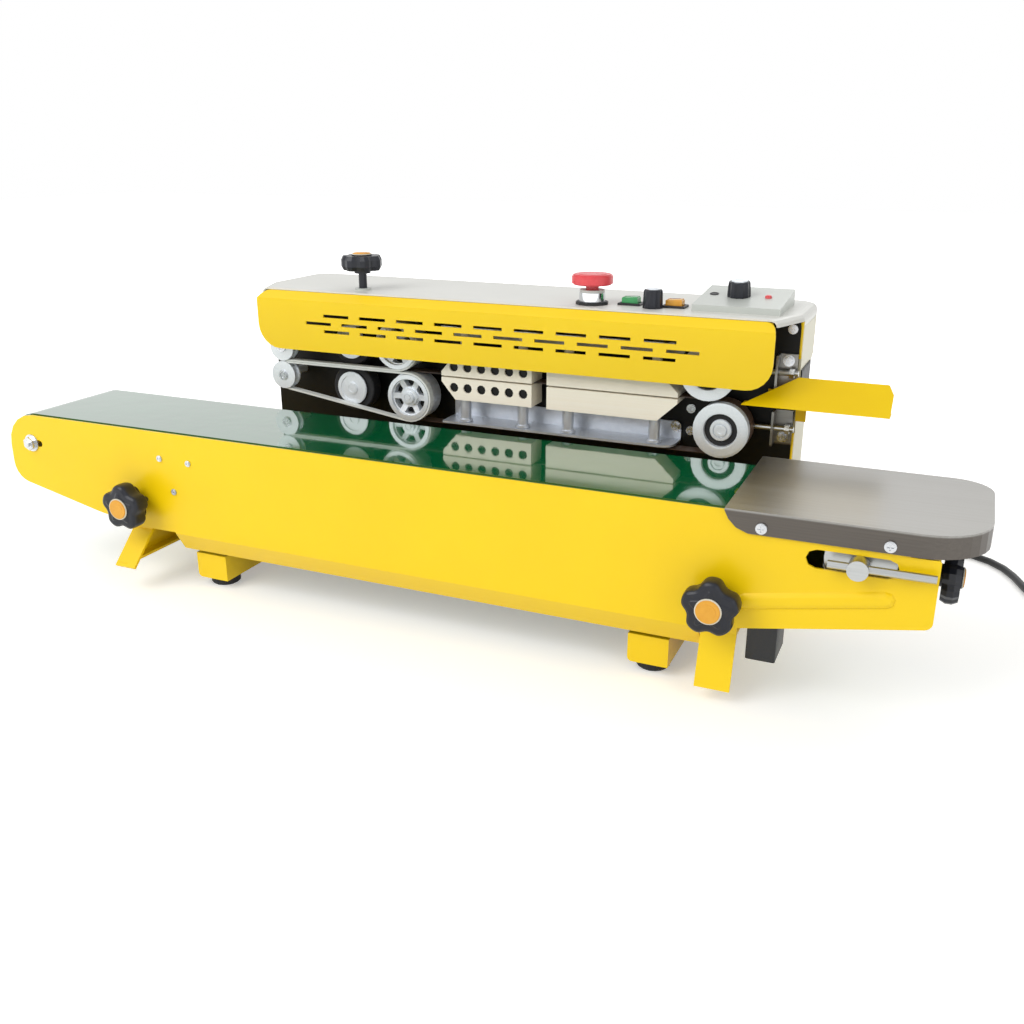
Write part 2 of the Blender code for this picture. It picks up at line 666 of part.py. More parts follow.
front_sheet, front_joined = side_panel(FRONT_PANEL_Y, BELT_TOP, 1, -1, True)
front_joined.append(bead(BEAD_START, BEAD_END, FRONT_PANEL_Y, BEAD_WIDTH, BEAD_HEIGHT))
piece("conveyor_front_panel", shaped(front_sheet, front_joined), YELLOW)
rear_sheet, rear_joined = side_panel(REAR_PANEL_Y, REAR_PANEL_TOP, -1, 1, False)
piece("conveyor_rear_panel", shaped(rear_sheet, rear_joined), YELLOW)

bed_path = [(FRONT_INNER_Y + SEAT_GAP, BED_TOP - BED_FLANGE),
            (FRONT_INNER_Y + SEAT_GAP, BED_TOP),
            (REAR_INNER_Y - SEAT_GAP, BED_TOP),
            (REAR_INNER_Y - SEAT_GAP, BED_TOP - BED_FLANGE)]
piece("belt_bed", prism(folded(bed_path[::-1], BED_THICK), "YZ", BED_LEFT,
                        BED_RIGHT - BED_LEFT), STEEL)


def belt_loop(first, first_r, second, second_r, steps):
    """The outline of a belt round two pulleys: two arcs joined by the outer tangents."""
    (x1, z1), (x2, z2) = first, second
    line = math.atan2(z2 - z1, x2 - x1)
    lean = math.degrees(math.acos((first_r - second_r) / math.hypot(x2 - x1, z2 - z1)))
    line = math.degrees(line)
    return (arc(x1, z1, first_r, line + lean, line + 360 - lean, steps)
            + arc(x2, z2, second_r, line - lean, line + lean, steps))


belt_ends = ((DRIVE_ROLLER_X, ROLLER_Z), (TENSION_ROLLER_X, ROLLER_Z))
belt_outer = belt_loop(belt_ends[0], BELT_OUT_R, belt_ends[1], BELT_OUT_R, 18)
belt_inner = belt_loop(belt_ends[0], BELT_IN_R, belt_ends[1], BELT_IN_R, 18)
piece("conveyor_belt", prism(belt_outer, "XZ", BELT_FRONT_Y, BELT_WIDTH, [belt_inner]),
      BELT_GREEN)


# ---- rollers and their drive ----------------------------------------------------------
GEAR_ROLLER_R = 0.0224       # pitch radius of the gear on the drive roller
PINION_R = 0.0212
ROLLER_GEAR_TEETH = 18
PINION_TEETH = 17
ROLLER_GEAR_Y = BELT_REAR_Y - 0.0095
ROLLER_GEAR_WIDTH = 0.008
PINION_X = DRIVE_ROLLER_X + GEAR_ROLLER_R + PINION_R


def toothed(pitch_r, teeth, addendum, dedendum, y, width, bore_r=0.0, shift=0.0):
    """A spur gear along Y about the origin; shift is in tooth pitches."""
    outline = []
    for i in range(teeth):
        for share, reach in ((-0.36, -dedendum), (-0.14, addendum), (0.14, addendum),
                             (0.36, -dedendum)):
            angle = 2 * math.pi * (i + share + shift) / teeth
            outline.append(((pitch_r + reach) * math.cos(angle),
                            (pitch_r + reach) * math.sin(angle)))
    holes = [circle(0, 0, bore_r, 16)] if bore_r else []
    return prism(outline, "XZ", y, width, holes)


roller_front = BELT_FRONT_Y + 0.0005 - FRONT_PANEL_Y
roller_rear = ROLLER_GEAR_Y + 0.001 - FRONT_PANEL_Y
end_bore = TAIL_BOLT_R + HOLE_GAP
bore_depth = 0.0135
drive_body = turned([(end_bore, roller_front), (ROLLER_R - 0.0005, roller_front),
                     (ROLLER_R, roller_front + 0.0005), (ROLLER_R, roller_rear - 0.0005),
                     (ROLLER_R - 0.0005, roller_rear), (0, roller_rear),
                     (0, roller_front + bore_depth), (end_bore, roller_front + bore_depth)],
                    "Y", 28, closed=True, centre=(0, FRONT_PANEL_Y, 0))
drive_gear = toothed(GEAR_ROLLER_R, ROLLER_GEAR_TEETH, 0.0012, 0.0015, ROLLER_GEAR_Y,
                     ROLLER_GEAR_WIDTH)
rear_stub_bore = turned([(0, 0), (end_bore, 0), (end_bore, 0.012), (0, 0.012)], "Y", 16,
                        centre=(0, ROLLER_GEAR_Y + ROLLER_GEAR_WIDTH - 0.0095, 0))
piece("drive_roller", shaped(drive_body, [drive_gear], [rear_stub_bore]), STEEL,
      (DRIVE_ROLLER_X, 0, ROLLER_Z))

pinion_mesh_shift = 0.5 if PINION_TEETH % 2 == 0 else 0.0
piece("motor_pinion", toothed(PINION_R, PINION_TEETH, 0.0012, 0.0015, ROLLER_GEAR_Y + 0.0015,
                              ROLLER_GEAR_WIDTH - 0.002, 0.0033, pinion_mesh_shift), STEEL,
      (PINION_X, 0, ROLLER_Z))

motor_profile = [(0, -0.092), (0.0165, -0.092), (0.0165, -0.0225), (0.008, -0.0225),
                 (0.008, -0.0200), (0.0030, -0.0200), (0.0030, REAR_INNER_Y - SEAT_GAP - 0.004),
                 (0.0, REAR_INNER_Y - SEAT_GAP - 0.004)]
motor_can = turned(motor_profile, "Y", 24, centre=(PINION_X, 0, ROLLER_Z))
motor_foot = block((PINION_X - 0.012, -0.088, ROLLER_Z + 0.012),
                   (PINION_X + 0.012, -0.030, BED_TOP - BED_THICK - SEAT_GAP))
piece("conveyor_motor", shaped(motor_can, [motor_foot]), BLACK_PLATE)

tube_front = BELT_FRONT_Y + 0.0005
tube_rear = BELT_REAR_Y - 0.0005
piece("tension_roller", turned([
    (ROLLER_BORE_R, tube_front), (ROLLER_R - 0.0005, tube_front),
    (ROLLER_R, tube_front + 0.0005), (ROLLER_R, tube_rear - 0.0005),
    (ROLLER_R - 0.0005, tube_rear), (ROLLER_BORE_R, tube_rear)], "Y", 28, closed=True),
      STEEL, (TENSION_ROLLER_X, 0, ROLLER_Z))

BARREL_R = 0.0075
ROD_R = 0.0030
ROD_LEFT = -0.021
ROD_RIGHT = 0.0515
rod_front_y = FRONT_PANEL_Y - 0.0062
rod_rear_y = REAR_PANEL_Y + 0.0058


def rod_x(x0, x1, y, z, radius, steps=12):
    return turned([(0, x0), (radius, x0), (radius, x1), (0, x1)], "X", steps, centre=(0, y, z))


def rod_y(y0, y1, x, z, radius, steps=20):
    return turned([(0, y0), (radius, y0), (radius, y1), (0, y1)], "Y", steps, centre=(x, 0, z))


def rod_z(z0, z1, x, y, radius, steps=16):
    return turned([(0, z0), (radius, z0), (radius, z1), (0, z1)], "Z", steps, centre=(x, y, 0))


piece("roller_tensioner", shaped(
    rod_y(FRONT_PANEL_Y - 0.0008, REAR_PANEL_Y + 0.0008, 0, 0, ROLLER_BORE_R - SEAT_GAP),
    [rod_y(FRONT_PANEL_Y - 0.0120, FRONT_PANEL_Y - SEAT_GAP, 0, 0, BARREL_R, 24),
     rod_y(REAR_PANEL_Y + SEAT_GAP, REAR_PANEL_Y + 0.0120, 0, 0, BARREL_R, 24),
     rod_x(ROD_LEFT, ROD_RIGHT, rod_front_y, 0.0002, ROD_R),
     rod_x(ROD_LEFT, ROD_RIGHT, rod_rear_y, 0.0002, ROD_R)]),
      STEEL, (TENSION_ROLLER_X, 0, ROLLER_Z))


# ---- end tray -------------------------------------------------------------------------
def end_tray():
    """A stainless pan over the delivery end, its lip turned down, open to the left."""
    def outline(inset, left):
        return filleted([
            (left, TRAY_FRONT_Y + inset, 0),
            (TRAY_RIGHT - inset, TRAY_FRONT_Y + inset, TRAY_FRONT_CORNER - inset),
            (TRAY_RIGHT - inset, TRAY_REAR_Y - inset, TRAY_REAR_CORNER - inset),
            (left, TRAY_REAR_Y - inset, 0)], 8)
    lip_z = TRAY_TOP - TRAY_LIP
    solid = prism(outline(0, TRAY_LEFT), "XY", lip_z, TRAY_LIP)
    hollow = prism(outline(TRAY_SHEET, TRAY_LEFT - 0.01), "XY", lip_z - 0.01,
                   TRAY_LIP + 0.01 - TRAY_SHEET)
    corner = filleted([(TRAY_LEFT - 0.005, lip_z - 0.005, 0), (TRAY_LEFT + 0.018, lip_z - 0.005, 0),
                       (TRAY_LEFT + 0.018, lip_z, 0), (TRAY_LEFT + 0.009, lip_z + 0.0035, 0),
                       (TRAY_LEFT + 0.003, lip_z + 0.0095, 0), (TRAY_LEFT, lip_z + 0.0155, 0),
                       (TRAY_LEFT - 0.005, lip_z + 0.0155, 0)])
    trim = prism(corner, "XZ", TRAY_FRONT_Y - 0.01, TRAY_REAR_Y - TRAY_FRONT_Y + 0.02)
    tab = prism(box_outline(END_KNOB_Y - 0.015, END_KNOB_Z - 0.013, END_KNOB_Y + 0.015,
                            TRAY_TOP - 0.0007), "YZ", TRAY_TAB_X, TRAY_SHEET,
                [circle(END_KNOB_Y, END_KNOB_Z, 0.0038 + HOLE_GAP, 16)])
    return shaped(shaped(solid, (), [hollow, trim]), [tab])


piece("end_tray", end_tray(), STEEL)


# ---- housing, plate, lid and cover ----------------------------------------------------
def corner_trim(x, y, side, radius, z, height):
    """What is cut away to round an upright rear corner of a box at x, y."""
    cx, cy = x - side * radius, y - radius
    curve = arc(cx, cy, radius, 90 - side * 90, 90, 6)
    return prism([*curve, (cx, y + 0.01), (x + side * 0.01, y + 0.01), (x + side * 0.01, cy)],
                 "XY", z, height)


def housing_body(inset, front, bottom):
    """The housing's outer or inner form: shallow below, full depth above a sloped step."""
    side = [(front, bottom), (LOWER_REAR_Y - inset, bottom), (LOWER_REAR_Y - inset, STEP_LOW_Z),
            (HOUSING_REAR_Y - inset, STEP_HIGH_Z), (HOUSING_REAR_Y - inset, HOUSING_TOP + inset),
            (front, HOUSING_TOP + inset)]
    left, right = HOUSING_LEFT + inset, HOUSING_RIGHT - inset
    trims = [corner_trim(x, HOUSING_REAR_Y - inset, sign, HOUSING_CORNER - inset,
                         STEP_LOW_Z - 0.01, HOUSING_TOP - STEP_LOW_Z + 0.03)
             for x, sign in ((left, -1), (right, 1))]
    return shaped(prism(side, "YZ", left, right - left), (), trims)


def rear_housing():
    """A sheet box behind the head, open to the front and the top, vented at the back."""
    bottom = FRAME_TOP + SEAT_GAP
    shell = housing_body(0, HOUSING_FRONT_Y, bottom)
    cut = [housing_body(HOUSING_WALL, HOUSING_FRONT_Y - 0.01, bottom + HOUSING_WALL)]
    for i in range(VENT_ROWS):
        slot = slot_outline(VENT_X, VENT_Z + VENT_PITCH * i, VENT_LENGTH, VENT_HEIGHT, 3)
        cut.append(prism(slot, "XZ", LOWER_REAR_Y - 0.01, 0.02))
    cut.append(rod_y(LOWER_REAR_Y - 0.01, LOWER_REAR_Y + 0.01, GLAND_X, GLAND_Z, 0.0075, 16))
    return shaped(shell, (), cut)


piece("rear_housing", rear_housing(), GREY_PANEL)

FAN_X = 0.001
FAN_Z = CONTACT_Z
FAN_OPEN_R = 0.024
FAN_PIN_R = 0.003
FAN_PIN_LENGTH = 0.016
KEY_HALF_Z = 0.004
KEY_HALF_X = 0.006


def fan_window(quadrant):
    """One quarter of the round air opening; four ribs are left to carry the fan."""
    turn = 90 * quadrant
    rib = 5
    return (arc(FAN_X, FAN_Z, FAN_OPEN_R, turn + rib, turn + 90 - rib, 5)
            + arc(FAN_X, FAN_Z, 0.008, turn + 90 - 3 * rib, turn + 3 * rib, 2))


def mounting_plate():
    """The black plate that carries every wheel, block and rail of the head."""
    left, right = HOUSING_LEFT + 0.002, HOUSING_RIGHT - 0.002
    outline = filleted([(left, PLATE_BOTTOM, 0.002), (right, PLATE_BOTTOM, 0.002),
                        (right, PLATE_TOP, LID_ROUND), (left, PLATE_TOP, LID_ROUND)])
    holes = []
    for sign, spoked_x, right_x in zip((-1, 1), SPOKED_X, RIGHT_X):
        holes.append(circle(spoked_x, CONTACT_Z + sign * WHEEL_OFFSET, SHAFT_R + HOLE_GAP, 16))
        holes.append(circle(PULLEY_X, CONTACT_Z + sign * PULLEY_OFFSET,
                            THIN_SHAFT_R + HOLE_GAP, 12))
        wheel_z = CONTACT_Z + sign * WHEEL_OFFSET
        holes.append(box_outline(right_x - KEY_HALF_X - BAND_TENSION_TRAVEL - 0.001,
                                 wheel_z - KEY_HALF_Z - SEAT_GAP,
                                 right_x + KEY_HALF_X + SEAT_GAP,
                                 wheel_z + KEY_HALF_Z + SEAT_GAP))
    holes.append(circle(PRESS_X, CONTACT_Z - PRESS_OFFSET, THIN_SHAFT_R + HOLE_GAP, 12))
    press_z = CONTACT_Z + PRESS_OFFSET
    holes.append(box_outline(PRESS_X - KEY_HALF_Z - SEAT_GAP, press_z - KEY_HALF_X - SEAT_GAP,
                             PRESS_X + KEY_HALF_Z + SEAT_GAP,
                             press_z + KEY_HALF_X + PRESS_TRAVEL + 0.001))
    holes += [fan_window(quadrant) for quadrant in range(4)]
    plate = prism(outline, "XZ", PLATE_Y, PLATE_THICK, holes)
    return shaped(plate, [rod_y(PLATE_Y + 0.001, PLATE_REAR_Y + FAN_PIN_LENGTH, FAN_X, FAN_Z,
                                FAN_PIN_R, 12)])


piece("mounting_plate", mounting_plate(), BLACK_PLATE)


def lid_rise(y):
    """Height of the sloped controller case above the lid at y."""
    share = (y - CASE_FRONT_Y) / (CASE_REAR_Y - CASE_FRONT_Y)
    return CASE_FRONT_RISE + share * (CASE_REAR_RISE - CASE_FRONT_RISE)


CASE_SLOPE = math.atan2(CASE_REAR_RISE - CASE_FRONT_RISE, CASE_REAR_Y - CASE_FRONT_Y)
ESTOP_NECK_R = 0.0113
ESTOP_NECK = 0.013
ESTOP_STEM_R = 0.006
SPEED_STEM_R = 0.003
DIAL_STEM_R = 0.003


def lofted(loops):
    """A closed solid through level outlines of equal point counts, as (outline, z)."""
    bm = bmesh.new()
    rings = [[bm.verts.new((x, y, z)) for x, y in outline] for outline, z in loops]
    for low, high in zip(rings, rings[1:]):
        for i in range(len(low)):
            k = (i + 1) % len(low)
            bm.faces.new((low[i], low[k], high[k], high[i]))
    bm.faces.new(rings[0])
    bm.faces.new(rings[-1])
    bmesh.ops.recalc_face_normals(bm, faces=bm.faces)
    return bm


def lid_outline(inset, front):
    """The lid from above: as wide as the cover in front, as the housing behind it."""
    depth = HOUSING_FRONT_Y - LID_FRONT_Y
    flare_left = (COVER_LEFT - HOUSING_LEFT) / depth * (LID_FRONT_Y - front)
    flare_right = (HOUSING_RIGHT - COVER_RIGHT) / depth * (LID_FRONT_Y - front)
    left, right = HOUSING_LEFT + inset, HOUSING_RIGHT - inset
    rear = HOUSING_REAR_Y - inset
    return filleted([
        (COVER_LEFT + inset + flare_left, front, 0), (COVER_RIGHT - inset - flare_right, front, 0),
        (right, HOUSING_FRONT_Y, 0), (right, rear, HOUSING_CORNER - inset),
        (left, rear, HOUSING_CORNER - inset), (left, HOUSING_FRONT_Y, 0)], 6)


def lid_body(inset, front, bottom):
    """The lid's outer or inner form, with its top edges rounded."""
    loops = [(lid_outline(inset, front), bottom)]
    for step in range(4):
        turn = math.radians(30 * step)
        reach = LID_ROUND - inset
        loops.append((lid_outline(inset + reach * (1 - math.cos(turn)), front),
                      LID_TOP - LID_ROUND + reach * math.sin(turn)))
    return lofted(loops)


def top_panel():
    """The pale lid with the raised controller case, the stop button's collar and the holes."""
    rim = HOUSING_TOP + SEAT_GAP
    lid = lid_body(0, LID_FRONT_Y, rim)
    hollow = lid_body(LID_SHEET, LID_FRONT_Y - 0.01, rim - 0.01)
    open_front = block((HOUSING_LEFT - 0.02, LID_FRONT_Y - 0.02, rim - 0.01),
                       (HOUSING_RIGHT + 0.02, HOUSING_FRONT_Y, LID_TOP - LID_ROUND))
    case_side = [(CASE_FRONT_Y, LID_TOP - 0.0005), (CASE_REAR_Y, LID_TOP - 0.0005),
                 (CASE_REAR_Y, LID_TOP + CASE_REAR_RISE), (CASE_FRONT_Y, LID_TOP + CASE_FRONT_RISE)]
    case = prism(case_side, "YZ", CASE_LEFT, CASE_RIGHT - CASE_LEFT)
    collar = rod_z(LID_TOP - 0.0005, LID_TOP + ESTOP_NECK, ESTOP_X, ESTOP_Y, ESTOP_NECK_R, 24)
    foot = rod_z(LID_TOP - 0.0005, LID_TOP + 0.002, PRESSURE_X, PRESSURE_Y, 0.008, 20)
    cut = [hollow, open_front,
           rod_z(LID_TOP - 0.012, LID_TOP + 0.02, ESTOP_X, ESTOP_Y, ESTOP_STEM_R + HOLE_GAP),
           rod_z(LID_TOP - 0.012, LID_TOP + 0.02, PRESSURE_X, PRESSURE_Y,
                 THIN_SHAFT_R + HOLE_GAP),
           rod_z(LID_TOP - 0.012, LID_TOP + 0.02, SPEED_X, SPEED_Y, SPEED_STEM_R + HOLE_GAP, 12)]
    for x in (POWER_X, HEATER_X):
        cut.append(block((x - ROCKER_LENGTH / 2 - 0.0008, ROCKER_Y - ROCKER_WIDTH / 2 - 0.0005,
                          LID_TOP - 0.012),
                         (x + ROCKER_LENGTH / 2 + 0.0008, ROCKER_Y + ROCKER_WIDTH / 2 + 0.0005,
                          LID_TOP + 0.012)))
    dial_bore = turned([(0, -0.008), (DIAL_STEM_R + HOLE_GAP, -0.008),
                        (DIAL_STEM_R + HOLE_GAP, 0.01), (0, 0.01)], "Z", 12)
    tilt = Matrix.Rotation(CASE_SLOPE, 4, "X")
    bmesh.ops.transform(dial_bore, matrix=Matrix.Translation(
        (DIAL_X, DIAL_Y, LID_TOP + lid_rise(DIAL_Y))) @ tilt, verts=dial_bore.verts)
    cut.append(dial_bore)
    return shaped(lid, [case, collar, foot], cut)


piece("top_panel", top_panel(), GREY_PANEL)


def front_cover():
    """The slotted guard over the upper wheels: a flat front, a slanted fold and a top lip."""
    outline = filleted([(COVER_LEFT, COVER_BOTTOM, 0.024), (COVER_RIGHT, COVER_BOTTOM, 0.022),
                        (COVER_RIGHT, COVER_FOLD_Z, 0), (COVER_LEFT, COVER_FOLD_Z, 0)], 6)
    slots = []
    for start, z, count in SLOT_ROWS:
        for i in range(count):
            x = start + i * SLOT_PITCH
            slots.append(box_outline(x, z - SLOT_HEIGHT / 2, x + SLOT_LENGTH, z + SLOT_HEIGHT / 2))
    face = prism(outline, "XZ", COVER_Y, COVER_SHEET, slots)
    lip_z = LID_TOP - LID_SHEET - SEAT_GAP
    path = [(COVER_Y, COVER_FOLD_Z - 0.001), (COVER_Y, COVER_FOLD_Z),
            (COVER_Y + 0.0105, lip_z), (COVER_LIP_REAR, lip_z)]
    fold = prism(folded(path[::-1], COVER_SHEET), "YZ", COVER_LEFT, COVER_RIGHT - COVER_LEFT)
    corners = []
    for x, side in ((COVER_LEFT, -1), (COVER_RIGHT, 1)):
        cx, cz = x - side * COVER_CORNER, lip_z - COVER_CORNER
        curve = arc(cx, cz, COVER_CORNER, 90 - side * 90, 90, 5)
        beyond = x + side * 0.01
        corners.append(prism([*curve, (cx, lip_z + 0.01), (beyond, lip_z + 0.01), (beyond, cz)],
                             "XZ", COVER_Y - 0.01, COVER_LIP_REAR - COVER_Y + 0.02))
    return shaped(face, [fold], corners)


piece("front_cover", front_cover(), YELLOW)

GUIDE_LEFT = 0.2425
GUIDE_BEND = 0.288
GUIDE_RIGHT = 0.364
GUIDE_SHEET = 0.0015
GUIDE_FRONT_Y = 0.0315
GUIDE_TOP_Y = 0.0545
GUIDE_TOP_Z = 0.2175


def inlet_guide():
    """A folded guide for the bag's mouth: a slanted face, a return and a tab on the plate."""
    path = [(GUIDE_TOP_Y, GUIDE_TOP_Z), (GUIDE_FRONT_Y, CONTACT_Z),
            (PLATE_Y - SEAT_GAP - GUIDE_SHEET, CONTACT_Z - 0.001),
            (PLATE_Y - SEAT_GAP - GUIDE_SHEET, CONTACT_Z + 0.0085)]
    body = prism(folded(path, GUIDE_SHEET), "YZ", GUIDE_LEFT, GUIDE_RIGHT - GUIDE_LEFT)
    taper = [(GUIDE_LEFT - 0.01, CONTACT_Z + 0.0005), (GUIDE_LEFT, CONTACT_Z + 0.0005),
             (GUIDE_BEND, GUIDE_TOP_Z + 0.001), (GUIDE_BEND, GUIDE_TOP_Z + 0.02),
             (GUIDE_LEFT - 0.01, GUIDE_TOP_Z + 0.02)]
    clear_left = block((GUIDE_LEFT - 0.01, GUIDE_FRONT_Y + 0.012, CONTACT_Z - 0.01),
                       (RIGHT_X[0] + BAND_OUT_R + 0.008, PLATE_Y, GUIDE_TOP_Z + 0.02))
    clear_right = block((HOUSING_RIGHT, GUIDE_FRONT_Y + 0.016, CONTACT_Z - 0.01),
                        (GUIDE_RIGHT + 0.01, PLATE_Y, CONTACT_Z + 0.011))
    tip = filleted([(GUIDE_RIGHT + 0.01, GUIDE_TOP_Z - 0.007, 0),
                    (GUIDE_RIGHT, GUIDE_TOP_Z - 0.007, 0),
                    (GUIDE_RIGHT - 0.007, GUIDE_TOP_Z + 0.003, 0),
                    (GUIDE_RIGHT + 0.01, GUIDE_TOP_Z + 0.003, 0)])
    return shaped(body, (), [prism(taper, "XZ", GUIDE_FRONT_Y - 0.01, 0.05), clear_left,
                             clear_right, prism(tip, "XZ", GUIDE_FRONT_Y - 0.01, 0.05)])


piece("inlet_guide", inlet_guide(), YELLOW)


# ---- bands, guide belts and wheels ----------------------------------------------------
def band(sign, spoked_x, right_x):
    z = CONTACT_Z + sign * WHEEL_OFFSET
    ends = ((spoked_x, z), (right_x, z))
    outer = belt_loop(ends[0], BAND_OUT_R, ends[1], BAND_OUT_R, 16)
    inner = belt_loop(ends[0], BAND_IN_R, ends[1], BAND_IN_R, 16)
    return prism(outer, "XZ", BAND_Y, BAND_WIDTH, [inner])


def guide_belt(sign, spoked_x):
    pulley = (PULLEY_X, CONTACT_Z + sign * PULLEY_OFFSET)
    wheel = (spoked_x, CONTACT_Z + sign * WHEEL_OFFSET)
    outer = belt_loop(pulley, PULLEY_OUT_R, wheel, BAND_OUT_R, 14)
    inner = belt_loop(pulley, PULLEY_IN_R, wheel, GUIDE_IN_R, 14)
    return prism(outer, "XZ", GUIDE_BELT_Y, GUIDE_BELT_WIDTH, [inner])


def spoked_wheel(shift):
    """A six-spoke wheel: a groove for the guide belt, a tread for the band, shaft and gear."""
    groove_r = GUIDE_IN_R - SEAT_GAP
    body = turned([(0, WHEEL_FRONT_Y + 0.002), (0.0085, WHEEL_FRONT_Y + 0.002),
                   (0.0085, WHEEL_FRONT_Y + 0.005), (0.0180, WHEEL_FRONT_Y + 0.003),
                   (0.0185, WHEEL_FRONT_Y),
                   (groove_r, WHEEL_FRONT_Y), (groove_r, BAND_Y - 0.0010),
                   (WHEEL_R, BAND_Y - 0.0008), (WHEEL_R, WHEEL_REAR_Y),
                   (SHAFT_R, WHEEL_REAR_Y), (SHAFT_R, GEAR_Y + GEAR_WIDTH + 0.006),
                   (0, GEAR_Y + GEAR_WIDTH + 0.006)], "Y", 30)
    pockets = []
    for i in range(6):
        middle = 60 * i + 30
        pocket = (arc(0, 0, 0.0172, middle - 21, middle + 21, 3)
                  + arc(0, 0, 0.0105, middle + 14, middle - 14, 1))
        pockets.append(prism(pocket, "XZ", WHEEL_FRONT_Y - 0.01, 0.022))
    gear = toothed(GEAR_R, GEAR_TEETH, 0.0013, 0.0018, GEAR_Y, GEAR_WIDTH, 0.0, shift)
    return shaped(body, [gear], pockets)


def right_wheel():
    """An idler wheel that turns on the tensioner's pin, with a stepped front face."""
    bore = SHAFT_R + HOLE_GAP
    return turned([(0, WHEEL_FRONT_Y + 0.0020), (0.0095, WHEEL_FRONT_Y + 0.0020),
                   (0.0098, WHEEL_FRONT_Y + 0.0045), (0.0146, WHEEL_FRONT_Y + 0.0045),
                   (0.0150, WHEEL_FRONT_Y), (BAND_OUT_R - 0.0002, WHEEL_FRONT_Y),
                   (BAND_OUT_R - 0.0002, BAND_Y - 0.0012), (WHEEL_R, BAND_Y - 0.0008),
                   (WHEEL_R, WHEEL_REAR_Y), (bore, WHEEL_REAR_Y),
                   (bore, WHEEL_FRONT_Y + 0.008), (0, WHEEL_FRONT_Y + 0.008)], "Y", 30)


def tensioner(reach):
    """The idler's slide block with its pin, its key in the plate and its tension rod."""
    body = block((-0.012, WHEEL_REAR_Y + SEAT_GAP * 3, -0.011),
                 (0.012, PLATE_Y - SEAT_GAP, 0.011))
    key = block((-KEY_HALF_X, PLATE_Y - 0.001, -KEY_HALF_Z),
                (KEY_HALF_X, PLATE_REAR_Y + 0.002, KEY_HALF_Z))
    pin = rod_y(WHEEL_FRONT_Y + 0.0085, WHEEL_REAR_Y + 0.002, 0, 0, SHAFT_R, 20)
    rod = rod_x(0.011, reach, TENSION_ROD_Y, 0, TENSION_ROD_R)
    nut = rod_x(reach - 0.0075, reach - 0.0035, TENSION_ROD_Y, 0, 0.0045, 6)
    return shaped(body, [key, pin, rod, nut])


TENSION_ROD_Y = 0.0600
TENSION_ROD_R = 0.0025
TENSION_ROD_X = 0.2843       # end of both tension rods
BRACKET_X = 0.2655
BRACKET_SHEET = 0.002
BRACKET_FRONT_Y = 0.0540


def tension_bracket(z):
    """A steel angle on the plate; the tension rod runs through its standing leg."""
    back = PLATE_Y - SEAT_GAP
    path = [(BRACKET_X + 0.0165, back), (BRACKET_X, back), (BRACKET_X, BRACKET_FRONT_Y)]
    body = prism(folded(path, BRACKET_SHEET), "XY", z - 0.0155, 0.031)
    return shaped(body, (), [rod_x(BRACKET_X - 0.01, BRACKET_X + 0.01, TENSION_ROD_Y, z,
                                   TENSION_ROD_R + HOLE_GAP)])


def guide_pulley():
    """A flanged pulley on a thin shaft."""
    groove = PULLEY_IN_R - SEAT_GAP
    flange = PULLEY_OUT_R - 0.0002
    return turned([(0, WHEEL_FRONT_Y - 0.001), (flange, WHEEL_FRONT_Y - 0.001),
                   (flange, GUIDE_BELT_Y - SEAT_GAP), (groove, GUIDE_BELT_Y - SEAT_GAP),
                   (groove, GUIDE_BELT_Y + GUIDE_BELT_WIDTH + SEAT_GAP),
                   (flange, GUIDE_BELT_Y + GUIDE_BELT_WIDTH + SEAT_GAP),
                   (flange, GUIDE_BELT_Y + GUIDE_BELT_WIDTH + 0.0018),
                   (THIN_SHAFT_R, GUIDE_BELT_Y + GUIDE_BELT_WIDTH + 0.0018),
                   (THIN_SHAFT_R, PLATE_REAR_Y + 0.001), (0, PLATE_REAR_Y + 0.001)], "Y", 22)


def press_wheel(on_pin):
    """A rubber-tyred press wheel with an aluminium disc in front."""
    front = [(0, PRESS_Y), (0.0168, PRESS_Y), (0.0170, PRESS_Y + 0.0020),
             (PRESS_R - 0.001, PRESS_Y + 0.0020), (PRESS_R, PRESS_Y + 0.0030),
             (PRESS_R, PRESS_Y + 0.0165), (PRESS_R - 0.001, PRESS_Y + 0.0175)]
    if on_pin:
        bore = THIN_SHAFT_R + HOLE_GAP
        front += [(bore, PRESS_Y + 0.0175), (bore, PRESS_Y + 0.006), (0, PRESS_Y + 0.006)]
    else:
        front += [(THIN_SHAFT_R, PRESS_Y + 0.0175), (THIN_SHAFT_R, PLATE_REAR_Y + 0.001),
                  (0, PLATE_REAR_Y + 0.001)]
    return turned(front, "Y", 26)


press_top = CONTACT_Z + PRESS_OFFSET + PRESS_R
ARM_OVER_Z = press_top + 0.003


def press_carriage():
    """The upper press wheel's slide: a pin, a key in the plate and an arm over the wheel."""
    z = CONTACT_Z + PRESS_OFFSET
    back = PLATE_Y - SEAT_GAP
    body = block((PRESS_X - 0.011, PRESS_Y + 0.0175 + 3 * SEAT_GAP, z - 0.012),
                 (PRESS_X + 0.011, back, ARM_OVER_Z + 0.004))
    key = block((PRESS_X - KEY_HALF_Z, back - 0.001, z - KEY_HALF_X),
                (PRESS_X + KEY_HALF_Z, PLATE_REAR_Y + 0.002, z + KEY_HALF_X))
    pin = rod_y(PRESS_Y + 0.0065, PRESS_Y + 0.020, PRESS_X, z, THIN_SHAFT_R)
    over = block((PRESSURE_X - 0.010, PRESSURE_Y - 0.008, ARM_OVER_Z),
                 (PRESSURE_X + 0.010, back - 0.0005, ARM_OVER_Z + 0.0075))
    made = shaped(body, [key, pin, over])
    bmesh.ops.translate(made, verts=made.verts, vec=(-PRESS_X, 0, -z))
    return made


